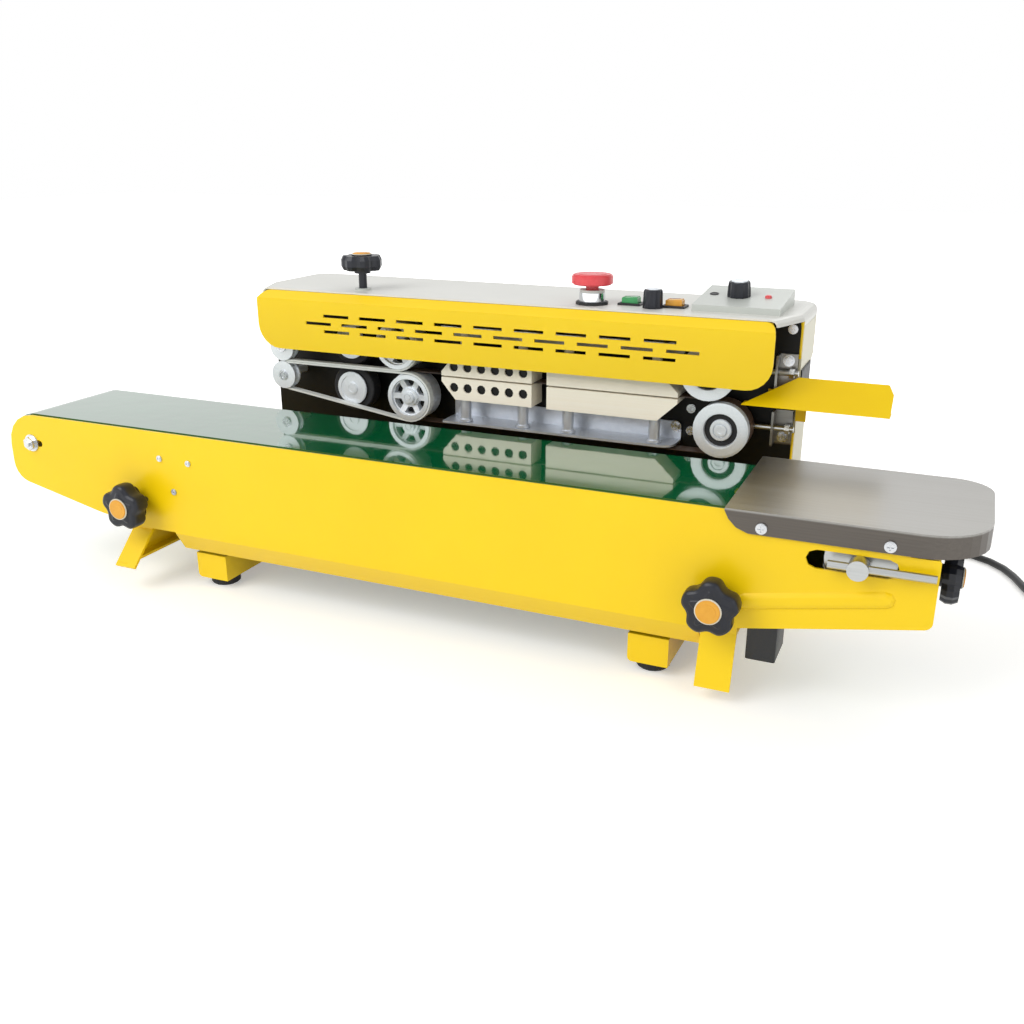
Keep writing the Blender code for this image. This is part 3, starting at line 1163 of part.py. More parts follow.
gear_pitch = 2 * math.pi / GEAR_TEETH
mesh_shift = (2 * WHEEL_LINE / gear_pitch - 0.5) % 1.0     # a tooth meets a gap
for level, sign, spoked_x, right_x, tooth_shift in zip(
        ("lower", "upper"), (-1, 1), SPOKED_X, RIGHT_X, (0.0, mesh_shift)):
    wheel_z = CONTACT_Z + sign * WHEEL_OFFSET
    piece(f"seal_band_{level}", band(sign, spoked_x, right_x), BAND_BROWN)
    piece(f"guide_belt_{level}", guide_belt(sign, spoked_x), GUIDE_GREY)
    piece(f"spoked_wheel_{level}", spoked_wheel(tooth_shift), ALUMINIUM, (spoked_x, 0, wheel_z))
    piece(f"right_wheel_{level}", right_wheel(), ALUMINIUM, (right_x, 0, wheel_z))
    piece(f"band_tensioner_{level}", tensioner(TENSION_ROD_X - right_x), STEEL,
          (right_x, 0, wheel_z))
    piece(f"tension_bracket_{level}", tension_bracket(wheel_z), STEEL)
    piece(f"guide_pulley_{level}", guide_pulley(), ALUMINIUM,
          (PULLEY_X, 0, CONTACT_Z + sign * PULLEY_OFFSET))
    piece(f"press_wheel_{level}", press_wheel(sign > 0), RUBBER,
          (PRESS_X, 0, CONTACT_Z + sign * PRESS_OFFSET))

piece("press_carriage", press_carriage(), STEEL, (PRESS_X, 0, CONTACT_Z + PRESS_OFFSET))


# ---- blocks and rails -----------------------------------------------------------------
def lower_block(left, right, slant_left, slant_right, posts, holes, post_end):
    """A heating or cooling block with its guide posts, as it lies under the band."""
    outline = [(left, BLOCK_TOP), (left, BLOCK_TOP - 0.004 if slant_left else BLOCK_BOTTOM)]
    if slant_left:
        outline.append((left + slant_left, BLOCK_BOTTOM))
    if slant_right:
        outline += [(right - slant_right, BLOCK_BOTTOM), (right, BLOCK_TOP - 0.004)]
    else:
        outline.append((right, BLOCK_BOTTOM))
    outline.append((right, BLOCK_TOP))
    body = prism(outline, "XZ", BLOCK_Y, BLOCK_DEPTH, holes)
    middle_y = BLOCK_Y + BLOCK_DEPTH / 2
    return shaped(body, [rod_z(post_end, BLOCK_BOTTOM + 0.001, x, middle_y, POST_R)
                         for x in posts])


cool_holes = [circle(COOL_HOLE_X + i * COOL_HOLE_PITCH, BLOCK_BOTTOM + 0.0118, COOL_HOLE_R, 10)
              for i in range(COOL_HOLES)]
shelf_top = RAIL_SHELF_Z + RAIL_SHEET
lower_end = shelf_top + SEAT_GAP
upper_end = RAIL_SHELF_Z + 0.0008
piece("heating_block_lower", lower_block(HEAT_LEFT, HEAT_RIGHT, 0, BLOCK_SLANT, HEAT_POSTS,
                                         [], lower_end), BLOCK_TAN)
piece("cooling_block_lower", lower_block(COOL_LEFT, COOL_RIGHT, BLOCK_SLANT * 0.8, 0,
                                         COOL_POSTS, cool_holes, lower_end), BLOCK_TAN)
piece("heating_block_upper", mirrored(lower_block(
    HEAT_LEFT, HEAT_RIGHT, 0, BLOCK_SLANT, HEAT_POSTS, [], upper_end), CONTACT_Z), BLOCK_TAN)
piece("cooling_block_upper", mirrored(lower_block(
    COOL_LEFT, COOL_RIGHT, BLOCK_SLANT * 0.8, 0, COOL_POSTS, cool_holes, upper_end),
    CONTACT_Z), BLOCK_TAN)


def rail(holes_for_posts):
    """An angle rail on the plate; its shelf carries or guides the posts of both blocks."""
    back = PLATE_Y - SEAT_GAP
    holes = []
    if holes_for_posts:
        middle_y = BLOCK_Y + BLOCK_DEPTH / 2
        holes = [circle(x, middle_y, POST_R + HOLE_GAP, 12) for x in COOL_POSTS + HEAT_POSTS]
    shelf_outline = filleted([(RAIL_LEFT, RAIL_FRONT_Y, 0.002), (RAIL_RIGHT, RAIL_FRONT_Y, 0.012),
                              (RAIL_RIGHT, back, 0), (RAIL_LEFT, back, 0)])
    shelf = prism(shelf_outline, "XY", RAIL_SHELF_Z, RAIL_SHEET, holes)
    wall_outline = filleted([(RAIL_LEFT, RAIL_SHELF_Z + 0.0005, 0),
                             (RAIL_RIGHT, RAIL_SHELF_Z + 0.0005, 0),
                             (RAIL_RIGHT, RAIL_SHELF_Z + RAIL_WALL, 0.008),
                             (RAIL_LEFT, RAIL_SHELF_Z + RAIL_WALL, 0.002)])
    wall = prism(wall_outline, "XZ", back - RAIL_SHEET, RAIL_SHEET)
    return shaped(shelf, [wall])


piece("lower_rail", rail(False), STEEL)
piece("upper_rail", mirrored(rail(True), CONTACT_Z), STEEL)


# ---- inside the housing ---------------------------------------------------------------
MOTOR_GEARBOX_HALF = 0.037
MOTOR_SHAFT_OFFSET = 0.009   # the output shaft lies off the gearbox's middle
MOTOR_CAN_LENGTH = 0.086
MOTOR_CAN_R = 0.0245
MOTOR_WALL_GAP = 0.0015      # from the can to the housing's rear wall


def drive_motor():
    """The gearmotor behind the plate: a gearbox on the lower drive wheel's shaft, and its can."""
    x = SPOKED_X[0] - MOTOR_SHAFT_OFFSET
    z = CONTACT_Z - WHEEL_OFFSET
    half = MOTOR_GEARBOX_HALF
    front = GEAR_Y + GEAR_WIDTH + 0.003
    can_y = LOWER_REAR_Y - HOUSING_WALL - MOTOR_WALL_GAP - MOTOR_CAN_R
    gearbox = block((x - half, front, z - half), (x + half, can_y + MOTOR_CAN_R - 0.005, z + half))
    can = rod_x(x - half - MOTOR_CAN_LENGTH, x - half + 0.001, can_y, z, MOTOR_CAN_R, 24)
    spacers = [rod_y(PLATE_REAR_Y + SEAT_GAP, front + 0.001, x + sx * (half - 0.003),
                     z + sz * (half - 0.003), 0.003, 12) for sx in (-1, 1) for sz in (-1, 1)]
    bore = rod_y(front - 0.001, front + 0.006, SPOKED_X[0], z, SHAFT_R + HOLE_GAP, 16)
    return shaped(gearbox, [can, *spacers], [bore])


piece("drive_motor", drive_motor(), BLACK_PLATE)


def cooling_fan():
    """A seven-blade fan behind the air opening, on the plate's pin."""
    hub = turned([(FAN_PIN_R + HOLE_GAP, 0), (0.009, 0), (0.009, 0.012),
                  (FAN_PIN_R + HOLE_GAP, 0.012)], "Y", 21, closed=True)
    blades = []
    for i in range(7):
        turn = 2 * math.pi * i / 7
        blade = block((-0.0006, 0.0015, 0.0082), (0.0006, 0.0105, 0.0260))
        twist = Matrix.Rotation(math.radians(38), 4, "Z")
        shift = Matrix.Translation((0, 0.006, 0))
        bmesh.ops.transform(blade, matrix=Matrix.Rotation(turn, 4, "Y") @ shift @ twist
                            @ shift.inverted(), verts=blade.verts)
        blades.append(blade)
    return shaped(hub, blades)


piece("cooling_fan", cooling_fan(), BLACK_PLASTIC, (FAN_X, PLATE_REAR_Y + SEAT_GAP, FAN_Z))


# ---- controls -------------------------------------------------------------------------
rod_bottom = ARM_OVER_Z + 0.0075 + PRESS_TRAVEL + SEAT_GAP
pressure_hub = 0.003
pressure_head = 0.014
pressure_base = LID_TOP + PRESSURE_RISE - pressure_hub - pressure_head - 0.001
piece("pressure_knob", star_knob(PRESSURE_HEAD_R, 0.0080, pressure_hub, pressure_head, 0.0100,
                                 0.001, THIN_SHAFT_R, pressure_base - rod_bottom, "Z", 1),
      BLACK_PLASTIC, (PRESSURE_X, PRESSURE_Y, pressure_base))

estop_base = LID_TOP + ESTOP_NECK + ESTOP_TRAVEL + SEAT_GAP
piece("estop_button", turned([
    (0, -0.020), (ESTOP_STEM_R, -0.020), (ESTOP_STEM_R, 0), (0.0125, 0), (ESTOP_R, 0.0045),
    (ESTOP_R, 0.0075), (ESTOP_R - 0.002, 0.0092), (0, 0.0098)], "Z", 24),
      RED_PLASTIC, (ESTOP_X, ESTOP_Y, estop_base))


def fluted(count, depth, inner, steps):
    """A radius factor for turned(): small flutes round a control knob."""
    def factor(i, radius):
        return 1.0 - depth * (i % 2) if radius > inner else 1.0
    return factor


def control_knob(radius, height, stem_r, stem, flutes):
    return turned([(0, -stem), (stem_r, -stem), (stem_r, 0), (radius, 0),
                   (radius * 0.93, height - 0.001), (radius * 0.84, height), (0, height)], "Z",
                  2 * flutes, outline=fluted(flutes, 0.07, radius * 0.9, 2 * flutes))


piece("speed_knob", control_knob(SPEED_R, 0.016, SPEED_STEM_R, 0.010, 12), BLACK_PLASTIC,
      (SPEED_X, SPEED_Y, LID_TOP + SEAT_GAP))
dial = piece("temperature_dial", control_knob(DIAL_R, 0.013, DIAL_STEM_R, 0.006, 12),
             BLACK_PLASTIC, (DIAL_X, DIAL_Y, LID_TOP + lid_rise(DIAL_Y)
                             + SEAT_GAP / math.cos(CASE_SLOPE)))
dial.rotation_euler = (CASE_SLOPE, 0, 0)


def rocker():
    """A rocker cap about its own pivot, one end higher than the other."""
    half = ROCKER_LENGTH / 2
    profile = [(-half, -0.0032), (half, -0.0032), (half, 0.0055), (half * 0.1, 0.0040),
               (-half, 0.0085)]
    return prism(profile, "XZ", -ROCKER_WIDTH / 2, ROCKER_WIDTH)


ROCKER_PIVOT = 0.0015        # above the lid's top face
piece("power_rocker", rocker(), GREEN_PLASTIC, (POWER_X, ROCKER_Y, LID_TOP + ROCKER_PIVOT))
piece("heater_rocker", rocker(), ORANGE_PLASTIC, (HEATER_X, ROCKER_Y, LID_TOP + ROCKER_PIVOT))


# ---- power cord -----------------------------------------------------------------------
def smooth_route(points, spacing):
    """Points along a smooth curve through the given ones, about spacing apart."""
    knots = [Vector(p) for p in points]
    knots = [2 * knots[0] - knots[1]] + knots + [2 * knots[-1] - knots[-2]]
    out = []
    for a, b, c, d in zip(knots, knots[1:], knots[2:], knots[3:]):
        steps = max(1, round((c - b).length / spacing))
        for i in range(steps):
            t = i / steps
            out.append(0.5 * (2 * b + (c - a) * t + (2 * a - 5 * b + 4 * c - d) * t * t
                              + (3 * b - a - 3 * c + d) * t ** 3))
    out.append(knots[-2])
    return out


def coil_route():
    """Two layers: the cord spirals in on the table, climbs in half a turn and spirals out."""
    points = []
    inner_r = COIL_OUT_R - COIL_TURNS_IN * COIL_PITCH
    total = COIL_TURNS_IN + 0.5 + COIL_TURNS_OUT
    count = round(total * COIL_POINTS)
    for i in range(count + 1):
        turn = total * i / count
        climb = min(max((turn - COIL_TURNS_IN) / 0.5, 0.0), 1.0)
        if turn <= COIL_TURNS_IN + 0.25:
            radius = COIL_OUT_R - COIL_PITCH * turn
        else:
            radius = inner_r - 0.25 * COIL_PITCH + COIL_PITCH * (turn - COIL_TURNS_IN - 0.25)
        angle = math.pi + 2 * math.pi * turn
        points.append(Vector((COIL_X + radius * math.cos(angle),
                              COIL_Y + radius * math.sin(angle),
                              COIL_LOW_Z + climb * (COIL_HIGH_Z - COIL_LOW_Z))))
    heading = (points[-1] - points[-2]).normalized()
    end = points[-1]
    points += [end + heading * COIL_TAIL * step / 4 for step in (1, 2, 3, 4)]
    return points


def least_gap(points, radius):
    """The least clear distance of a wound tube to its own turns."""
    gap = 1.0
    skip = COIL_POINTS // 2
    for i, here in enumerate(points):
        for there in points[i + skip:]:
            gap = min(gap, (here - there).length - 2 * radius)
    return gap


def cord_piece(name, points, resolution):
    curve = bpy.data.curves.new(name, "CURVE")
    curve.dimensions = "3D"
    curve.bevel_depth = CORD_R
    curve.bevel_resolution = resolution
    curve.use_fill_caps = True
    spline = curve.splines.new("POLY")
    spline.points.add(len(points) - 1)
    for point, place in zip(spline.points, points):
        point.co = (*place, 1)
    curve.materials.append(CORD_BLACK)
    made = bpy.data.objects.new(name, curve)
    bpy.context.scene.collection.objects.link(made)


cord_piece("power_cord", smooth_route(CORD_ROUTE, 0.014), 2)
coil_points = coil_route()
cord_piece("cord_coil", coil_points, 1)
print("least gap between the coil's turns, mm:", round(1000 * least_gap(coil_points, CORD_R), 2))

gland = turned([(0, LOWER_REAR_Y - 0.004), (0.0072, LOWER_REAR_Y - 0.004),
                (0.0072, LOWER_REAR_Y + SEAT_GAP), (0.0105, LOWER_REAR_Y + SEAT_GAP),
                (0.0105, LOWER_REAR_Y + 0.0045), (0.0072, LOWER_REAR_Y + 0.0060),
                (0.0050, GLAND_END_Y), (0, GLAND_END_Y)], "Y", 16,
               centre=(GLAND_X, 0, GLAND_Z))
piece("cord_gland", gland, RUBBER)


def plug():
    """A two-pin plug that lies beside the coil, on the end of the cord."""
    end = coil_points[-1]
    heading = (coil_points[-1] - coil_points[-2]).normalized()
    body = turned([(0, 0), (0.0050, 0), (0.0062, 0.010), (0.0105, 0.015), (0.0105, 0.030),
                   (0.0095, 0.033), (0, 0.033)], "X", 16)
    pins = [rod_x(0.032, 0.050, sign * 0.0055, 0, 0.0022, 8) for sign in (-1, 1)]
    made = shaped(body, pins)
    turn = Matrix.Rotation(math.atan2(heading.y, heading.x), 4, "Z")
    start = end + heading * SEAT_GAP
    bmesh.ops.transform(made, matrix=Matrix.Translation(start) @ turn, verts=made.verts)
    return made


piece("plug", plug(), CORD_BLACK)
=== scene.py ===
"""A tabletop continuous band sealer, dressed for its portrait."""
import math

import bmesh
import bpy
from mathutils import Matrix, Vector


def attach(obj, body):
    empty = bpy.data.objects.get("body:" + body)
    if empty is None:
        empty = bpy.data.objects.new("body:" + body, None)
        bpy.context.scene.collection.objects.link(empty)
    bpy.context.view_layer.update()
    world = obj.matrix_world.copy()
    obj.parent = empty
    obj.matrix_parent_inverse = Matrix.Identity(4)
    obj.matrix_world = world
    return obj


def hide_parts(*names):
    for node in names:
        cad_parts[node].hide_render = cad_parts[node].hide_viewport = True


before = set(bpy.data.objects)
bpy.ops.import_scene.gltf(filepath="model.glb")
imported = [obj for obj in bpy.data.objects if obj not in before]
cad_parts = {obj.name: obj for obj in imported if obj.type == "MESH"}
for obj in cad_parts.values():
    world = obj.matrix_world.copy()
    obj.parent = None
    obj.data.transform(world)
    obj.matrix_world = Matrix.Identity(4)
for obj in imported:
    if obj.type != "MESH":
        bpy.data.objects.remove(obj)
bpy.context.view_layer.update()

# ---- Viewpoint ------------------------------------------------------------------------
# The machine is seen from its delivery end, a little above the belt, so that the long side
# panel runs away to the left and the head stands behind it.
bpy.ops.object.camera_add(location=(0.41315, -0.84639, 0.40894),
                          rotation=(math.radians(70.311), 0, math.radians(23.689)))
viewpoint = bpy.context.object
viewpoint.name = "viewpoint"
viewpoint.data.sensor_width = 36
viewpoint.data.lens = 36.603
viewpoint.data.clip_start = 0.02
bpy.context.scene.camera = viewpoint

# ---- Power cord -----------------------------------------------------------------------
# A 7 mm lead in an extruded black PVC sheath. It leaves the back of the housing, drops to the
# table, runs out past the delivery end and is put away there in a flat coil of two layers.
CORD_RADIUS = 0.0035
CORD_LIE = 0.0036
CORD_EXIT = (0.2000, 0.1548, 0.0600)
CORD_RUN = (
    CORD_EXIT, (0.2000, 0.1710, 0.0592), (0.2008, 0.1890, 0.0525), (0.2030, 0.2060, 0.0385),
    (0.2070, 0.2215, 0.0215), (0.2140, 0.2370, 0.0092), (0.2255, 0.2510, 0.0044),
    (0.2430, 0.2630, CORD_LIE), (0.2650, 0.2710, CORD_LIE), (0.2980, 0.2750, CORD_LIE),
    (0.3400, 0.2745, CORD_LIE), (0.3900, 0.2705, CORD_LIE), (0.4250, 0.2665, CORD_LIE),
    (0.4480, 0.2600, CORD_LIE), (0.4645, 0.2495, CORD_LIE), (0.4770, 0.2350, CORD_LIE),
    (0.4860, 0.2170, CORD_LIE), (0.4930, 0.1970, CORD_LIE), (0.5005, 0.1770, CORD_LIE),
    (0.5075, 0.1610, CORD_LIE), (0.5095, 0.1503, CORD_LIE), (0.5095, 0.1500, CORD_LIE),
)
RUN_SPACING = 0.014
COIL_CENTRE = (0.557, 0.150)
COIL_RADIUS = 0.0475
COIL_STEP = 0.0076
COIL_TAIL = 0.036
TURNS_IN = 2.5
TURNS_OVER = 0.5
TURNS_OUT = 2.208
POINTS_PER_TURN = 24


def linear(hex_colour):
    """The linear colour of an sRGB hex value."""
    levels = [int(hex_colour[i:i + 2], 16) / 255 for i in (1, 3, 5)]
    return (*(v / 12.92 if v <= 0.04045 else ((v + 0.055) / 1.055) ** 2.4 for v in levels), 1)


def add_node(material, kind, settings, to=None):
    """Add a node. A value that is a socket is linked, any other is written down, and to names
    the shader's socket that the node's result drives."""
    made = material.node_tree.nodes.new("ShaderNode" + kind)
    for name, value in settings.items():
        if isinstance(name, str) and name not in made.inputs:
            setattr(made, name, value)
        elif isinstance(value, bpy.types.NodeSocket):
            material.node_tree.links.new(value, made.inputs[name])
        else:
            made.inputs[name].default_value = value
    shown = [socket for socket in made.outputs if socket.enabled]
    if to:
        shader = material.node_tree.nodes["Principled BSDF"]
        material.node_tree.links.new(shown[0], shader.inputs[to])
    return shown[0]


def new_finish(name, hex_colour, roughness, metallic=0.0):
    """A material with its shader set to plain values, and the socket of the object's place."""
    material = bpy.data.materials.new(name)
    material.use_nodes = True
    shader = material.node_tree.nodes["Principled BSDF"]
    shader.inputs["Base Color"].default_value = linear(hex_colour)
    shader.inputs["Roughness"].default_value = roughness
    shader.inputs["Metallic"].default_value = metallic
    coordinates = material.node_tree.nodes.new("ShaderNodeTexCoord")
    return material, coordinates.outputs["Object"]


def dress(material, *nodes):
    """Give CAD nodes their material."""
    for node in nodes:
        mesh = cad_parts[node].data
        mesh.materials.clear()
        mesh.materials.append(material)


def smooth_run(points, spacing):
    """A smooth curve through the points, about spacing apart."""
    knots = [Vector(p) for p in points]
    knots = [2 * knots[0] - knots[1]] + knots + [2 * knots[-1] - knots[-2]]
    out = []
    for a, b, c, d in zip(knots, knots[1:], knots[2:], knots[3:]):
        steps = max(1, round((c - b).length / spacing))
        for i in range(steps):
            t = i / steps
            out.append(0.5 * (2 * b + (c - a) * t + (2 * a - 5 * b + 4 * c - d) * t * t
                              + (3 * b - a - 3 * c + d) * t ** 3))
    return out


# PVC sheath, extruded: a soft satin with faint drawing lines, which show as a slight mottle.
# The 0.3 mm grain of the extrusion is drawn at 1.4 mm.
sheath_pvc, place = new_finish("extruded black PVC sheath", "#1A1B1D", 0.42)
grain = add_node(sheath_pvc, "TexNoise", {"Vector": place, "Scale": 700.0, "Detail": 3.0})
add_node(sheath_pvc, "MapRange", {"Value": grain, "To Min": 0.36, "To Max": 0.52}, "Roughness")
add_node(sheath_pvc, "Bump", {"Height": grain, "Distance": 0.0001}, "Normal")

cord_points = smooth_run(CORD_RUN, RUN_SPACING)
inner_radius = COIL_RADIUS - TURNS_IN * COIL_STEP
all_turns = TURNS_IN + TURNS_OVER + TURNS_OUT
coil_count = round(all_turns * POINTS_PER_TURN)
for i in range(coil_count + 1):
    turn = all_turns * i / coil_count
    climb = min(max((turn - TURNS_IN) / TURNS_OVER, 0.0), 1.0)
    if turn <= TURNS_IN + TURNS_OVER / 2:
        radius = COIL_RADIUS - COIL_STEP * turn
    else:
        radius = inner_radius + COIL_STEP * (turn - TURNS_IN - TURNS_OVER)
    angle = math.pi + 2 * math.pi * turn
    cord_points.append(Vector((COIL_CENTRE[0] + radius * math.cos(angle),
                               COIL_CENTRE[1] + radius * math.sin(angle),
                               CORD_LIE + climb * COIL_STEP)))
heading = (cord_points[-1] - cord_points[-2]).normalized()
coil_end = cord_points[-1]
cord_points += [coil_end + heading * COIL_TAIL * step / 4 for step in (1, 2, 3, 4)]
cord_curve = bpy.data.curves.new("lead", "CURVE")
cord_curve.dimensions = "3D"
cord_curve.bevel_depth = CORD_RADIUS
cord_curve.bevel_resolution = 3
cord_curve.use_fill_caps = True
cord_line = cord_curve.splines.new("POLY")
cord_line.points.add(len(cord_points) - 1)
for spot, point in zip(cord_line.points, cord_points):
    spot.co = (*point, 1)
cord_curve.materials.append(sheath_pvc)
lead = bpy.data.objects.new("lead", cord_curve)
bpy.context.scene.collection.objects.link(lead)
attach(lead, "base")
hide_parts("power_cord", "cord_coil")
dress(sheath_pvc, "plug")

# ---- Base frame and support arms ------------------------------------------------------
# Folded and welded steel sheet in yellow polyester powder coat: the pan under the head, the
# two channels that carry the feet, and the two splayed arms that hold the conveyor.
# Powder coat: baked resin with a fine orange peel that softens the edges of reflections, and
# a slightly deeper yellow where it pools. The peel of 2 mm is drawn at 4 mm so that it shows.
powder_coat, place = new_finish("yellow polyester powder coat", "#F6D004", 0.36)
shader = powder_coat.node_tree.nodes["Principled BSDF"]
shader.inputs["Specular IOR Level"].default_value = 0.36
shader.inputs["Coat Weight"].default_value = 0.10
shader.inputs["Coat Roughness"].default_value = 0.15
pool = add_node(powder_coat, "TexNoise", {"Vector": place, "Scale": 9.0, "Detail": 4.0})
add_node(powder_coat, "Mix", {"data_type": "RGBA", 0: pool, 6: linear("#F2C800"),
                              7: linear("#FAD60C")}, "Base Color")
peel = add_node(powder_coat, "TexNoise", {"Vector": place, "Scale": 250.0, "Detail": 2.0})
add_node(powder_coat, "MapRange", {"Value": pool, "To Min": 0.30, "To Max": 0.42}, "Roughness")
add_node(powder_coat, "Bump", {"Height": peel, "Distance": 0.00006}, "Normal")
dress(powder_coat, "base_frame", "support_arm_left", "support_arm_right",
      "conveyor_front_panel", "conveyor_rear_panel", "front_cover")

# ---- Rubber feet and strain relief ----------------------------------------------------
# Four feet moulded in black nitrile rubber, pushed into the channels, and the ribbed sleeve
# of the same rubber that keeps the lead from kinking where it leaves the housing.
# Moulded rubber: dull, with a dusty bloom. Its 0.5 mm grit is drawn at 2 mm.
foot_rubber, place = new_finish("moulded nitrile rubber", "#161617", 0.72)
grit = add_node(foot_rubber, "TexNoise", {"Vector": place, "Scale": 500.0, "Detail": 4.0})
add_node(foot_rubber, "Mix", {"data_type": "RGBA", 0: grit, 6: linear("#111112"),
                              7: linear("#27272A")}, "Base Color")
add_node(foot_rubber, "Bump", {"Height": grit, "Distance": 0.0002}, "Normal")
dress(foot_rubber, "rubber_foot_front_left", "rubber_foot_front_right",
      "rubber_foot_rear_left", "rubber_foot_rear_right", "press_wheel_lower",
      "press_wheel_upper", "cord_gland")
FRONT, REAR, UP = (0, -1, 0), (0, 1, 0), (0, 0, 1)


def round_blank(name, centre, axis, radius, depth, sides=32):
    """Stand a round blank at its place on its own axis, with nothing else selected."""
    if bpy.context.mode != "OBJECT":
        bpy.ops.object.mode_set(mode="OBJECT")
    bpy.ops.object.select_all(action="DESELECT")
    bpy.ops.mesh.primitive_cylinder_add(
        vertices=sides, radius=radius, depth=depth, location=centre,
        rotation=Vector(axis).to_track_quat("Z", "Y").to_euler())
    blank = bpy.context.object
    blank.name = blank.data.name = name
    bpy.ops.object.transform_apply(location=True, rotation=True, scale=True)
    return blank


def square_blank(name, low, high):
    """Stand a square blank between two corners, with nothing else selected."""
    if bpy.context.mode != "OBJECT":
        bpy.ops.object.mode_set(mode="OBJECT")
    bpy.ops.object.select_all(action="DESELECT")
    bpy.ops.mesh.primitive_cube_add(
        size=1, location=[(a + b) / 2 for a, b in zip(low, high)],
        scale=[b - a for a, b in zip(low, high)])
    blank = bpy.context.object
    blank.name = blank.data.name = name
    bpy.ops.object.transform_apply(location=True, rotation=True, scale=True)
    return blank


def pick_faces(blank, test):
    """Open the blank for editing with only those faces selected that pass the test."""
    bpy.context.view_layer.objects.active = blank
    if bpy.context.mode != "EDIT_MESH":
        bpy.ops.object.mode_set(mode="EDIT")
    bpy.ops.mesh.select_mode(type="FACE")
    bpy.ops.mesh.select_all(action="DESELECT")
    open_mesh = bmesh.from_edit_mesh(blank.data)
    for face in open_mesh.faces:
        if test(face.calc_center_median(), face.normal):
            face.select_set(True)
    bmesh.update_edit_mesh(blank.data)


def step_in(blank, axis, steps):
    """Turn steps into the end that faces along the axis: each is an inset and a rise."""
    out = Vector(axis)
    pick_faces(blank, lambda centre, normal: normal.dot(out) > 0.9)
    for inset, rise in steps:
        if inset:
            bpy.ops.mesh.inset(thickness=inset, depth=0)
        if rise:
            bpy.ops.mesh.extrude_region_move(
                TRANSFORM_OT_translate={"value": out * rise, "orient_type": "GLOBAL"})


def finish_piece(piece, material, body, angle=35):
    """Close the piece, smooth its round sides, paint it and fasten it to its body."""
    if bpy.context.mode != "OBJECT":
        bpy.ops.object.mode_set(mode="OBJECT")
    bpy.ops.object.select_all(action="DESELECT")
    piece.select_set(True)
    bpy.context.view_layer.objects.active = piece
    bpy.ops.object.shade_smooth_by_angle(angle=math.radians(angle))
    piece.data.materials.clear()
    piece.data.materials.append(material)
    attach(piece, body)
    return piece


def copy_piece(piece, name, shift, body):
    """A copy with its own mesh, moved by shift, on its own body."""
    copy = piece.copy()
    copy.data = piece.data.copy()
    copy.name = copy.data.name = name
    copy.parent = None
    copy.matrix_world = Matrix.Identity(4)
    bpy.context.scene.collection.objects.link(copy)
    copy.data.transform(Matrix.Translation(shift))
    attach(copy, body)
    return copy


# Five raised rings stand along the sleeve, each smaller than the one before it.
RING_PITCH = 0.0042
RING_TAPER = 0.0006
for ring in range(5):
    relief_ring = round_blank(f"relief_ring_{ring + 1}",
                              (CORD_EXIT[0], 0.1325 + RING_PITCH * ring, CORD_EXIT[2]), REAR,
                              0.0077 - RING_TAPER * ring, 0.0018, 24)
    step_in(relief_ring, REAR, [(0.0010, 0.0005)])
    step_in(relief_ring, FRONT, [(0.0010, 0.0005)])
    finish_piece(relief_ring, foot_rubber, "base")

# ---- Conveyor side panels -------------------------------------------------------------
# Laser-cut and folded steel in the same yellow. The tail axle is clamped by a hexagon nut on a
# washer, and three blind rivets hold the guard that lies behind the front panel.
# Zinc-plated steel: bright, a little blue, with a faint haze of 3 mm from the plating bath.
zinc_steel, place = new_finish("zinc-plated steel", "#C4C7CA", 0.24, 1.0)
haze = add_node(zinc_steel, "TexNoise", {"Vector": place, "Scale": 320.0, "Detail": 1.0})
add_node(zinc_steel, "MapRange", {"Value": haze, "To Min": 0.22, "To Max": 0.32}, "Roughness")
add_node(zinc_steel, "Mix", {"data_type": "RGBA", 0: haze, 6: linear("#B9BCC1"),
                             7: linear("#D2D4D6")}, "Base Color")
add_node(zinc_steel, "Bump", {"Height": haze, "Distance": 0.000008}, "Normal")
PANEL_FACE = -0.129
AXLE_X, AXLE_Z = -0.419, 0.127
tail_washer = round_blank("tail_washer", (AXLE_X, PANEL_FACE - 0.0006, AXLE_Z), FRONT, 0.0085,
                          0.0012, 36)
step_in(tail_washer, FRONT, [(0.0006, 0.0003)])
finish_piece(tail_washer, zinc_steel, "conveyor")
tail_nut = round_blank("tail_nut", (AXLE_X, PANEL_FACE - 0.0030, AXLE_Z), FRONT, 0.0066,
                       0.0042, 6)
step_in(tail_nut, FRONT, [(0.0011, 0.0005), (0.0020, -0.0004), (0.0001, 0.0022)])
finish_piece(tail_nut, zinc_steel, "conveyor", 25)
rivet = round_blank("panel_rivet_1", (-0.259, PANEL_FACE - 0.0005, 0.130), FRONT, 0.0030,
                    0.0010, 20)
step_in(rivet, FRONT, [(0.0006, 0.0005), (0.0007, 0.0003), (0.0004, -0.0005)])
finish_piece(rivet, zinc_steel, "conveyor", 60)
copy_piece(rivet, "panel_rivet_2", (0.033, 0, -0.001), "conveyor")
copy_piece(rivet, "panel_rivet_3", (0.013, 0, -0.031), "conveyor")

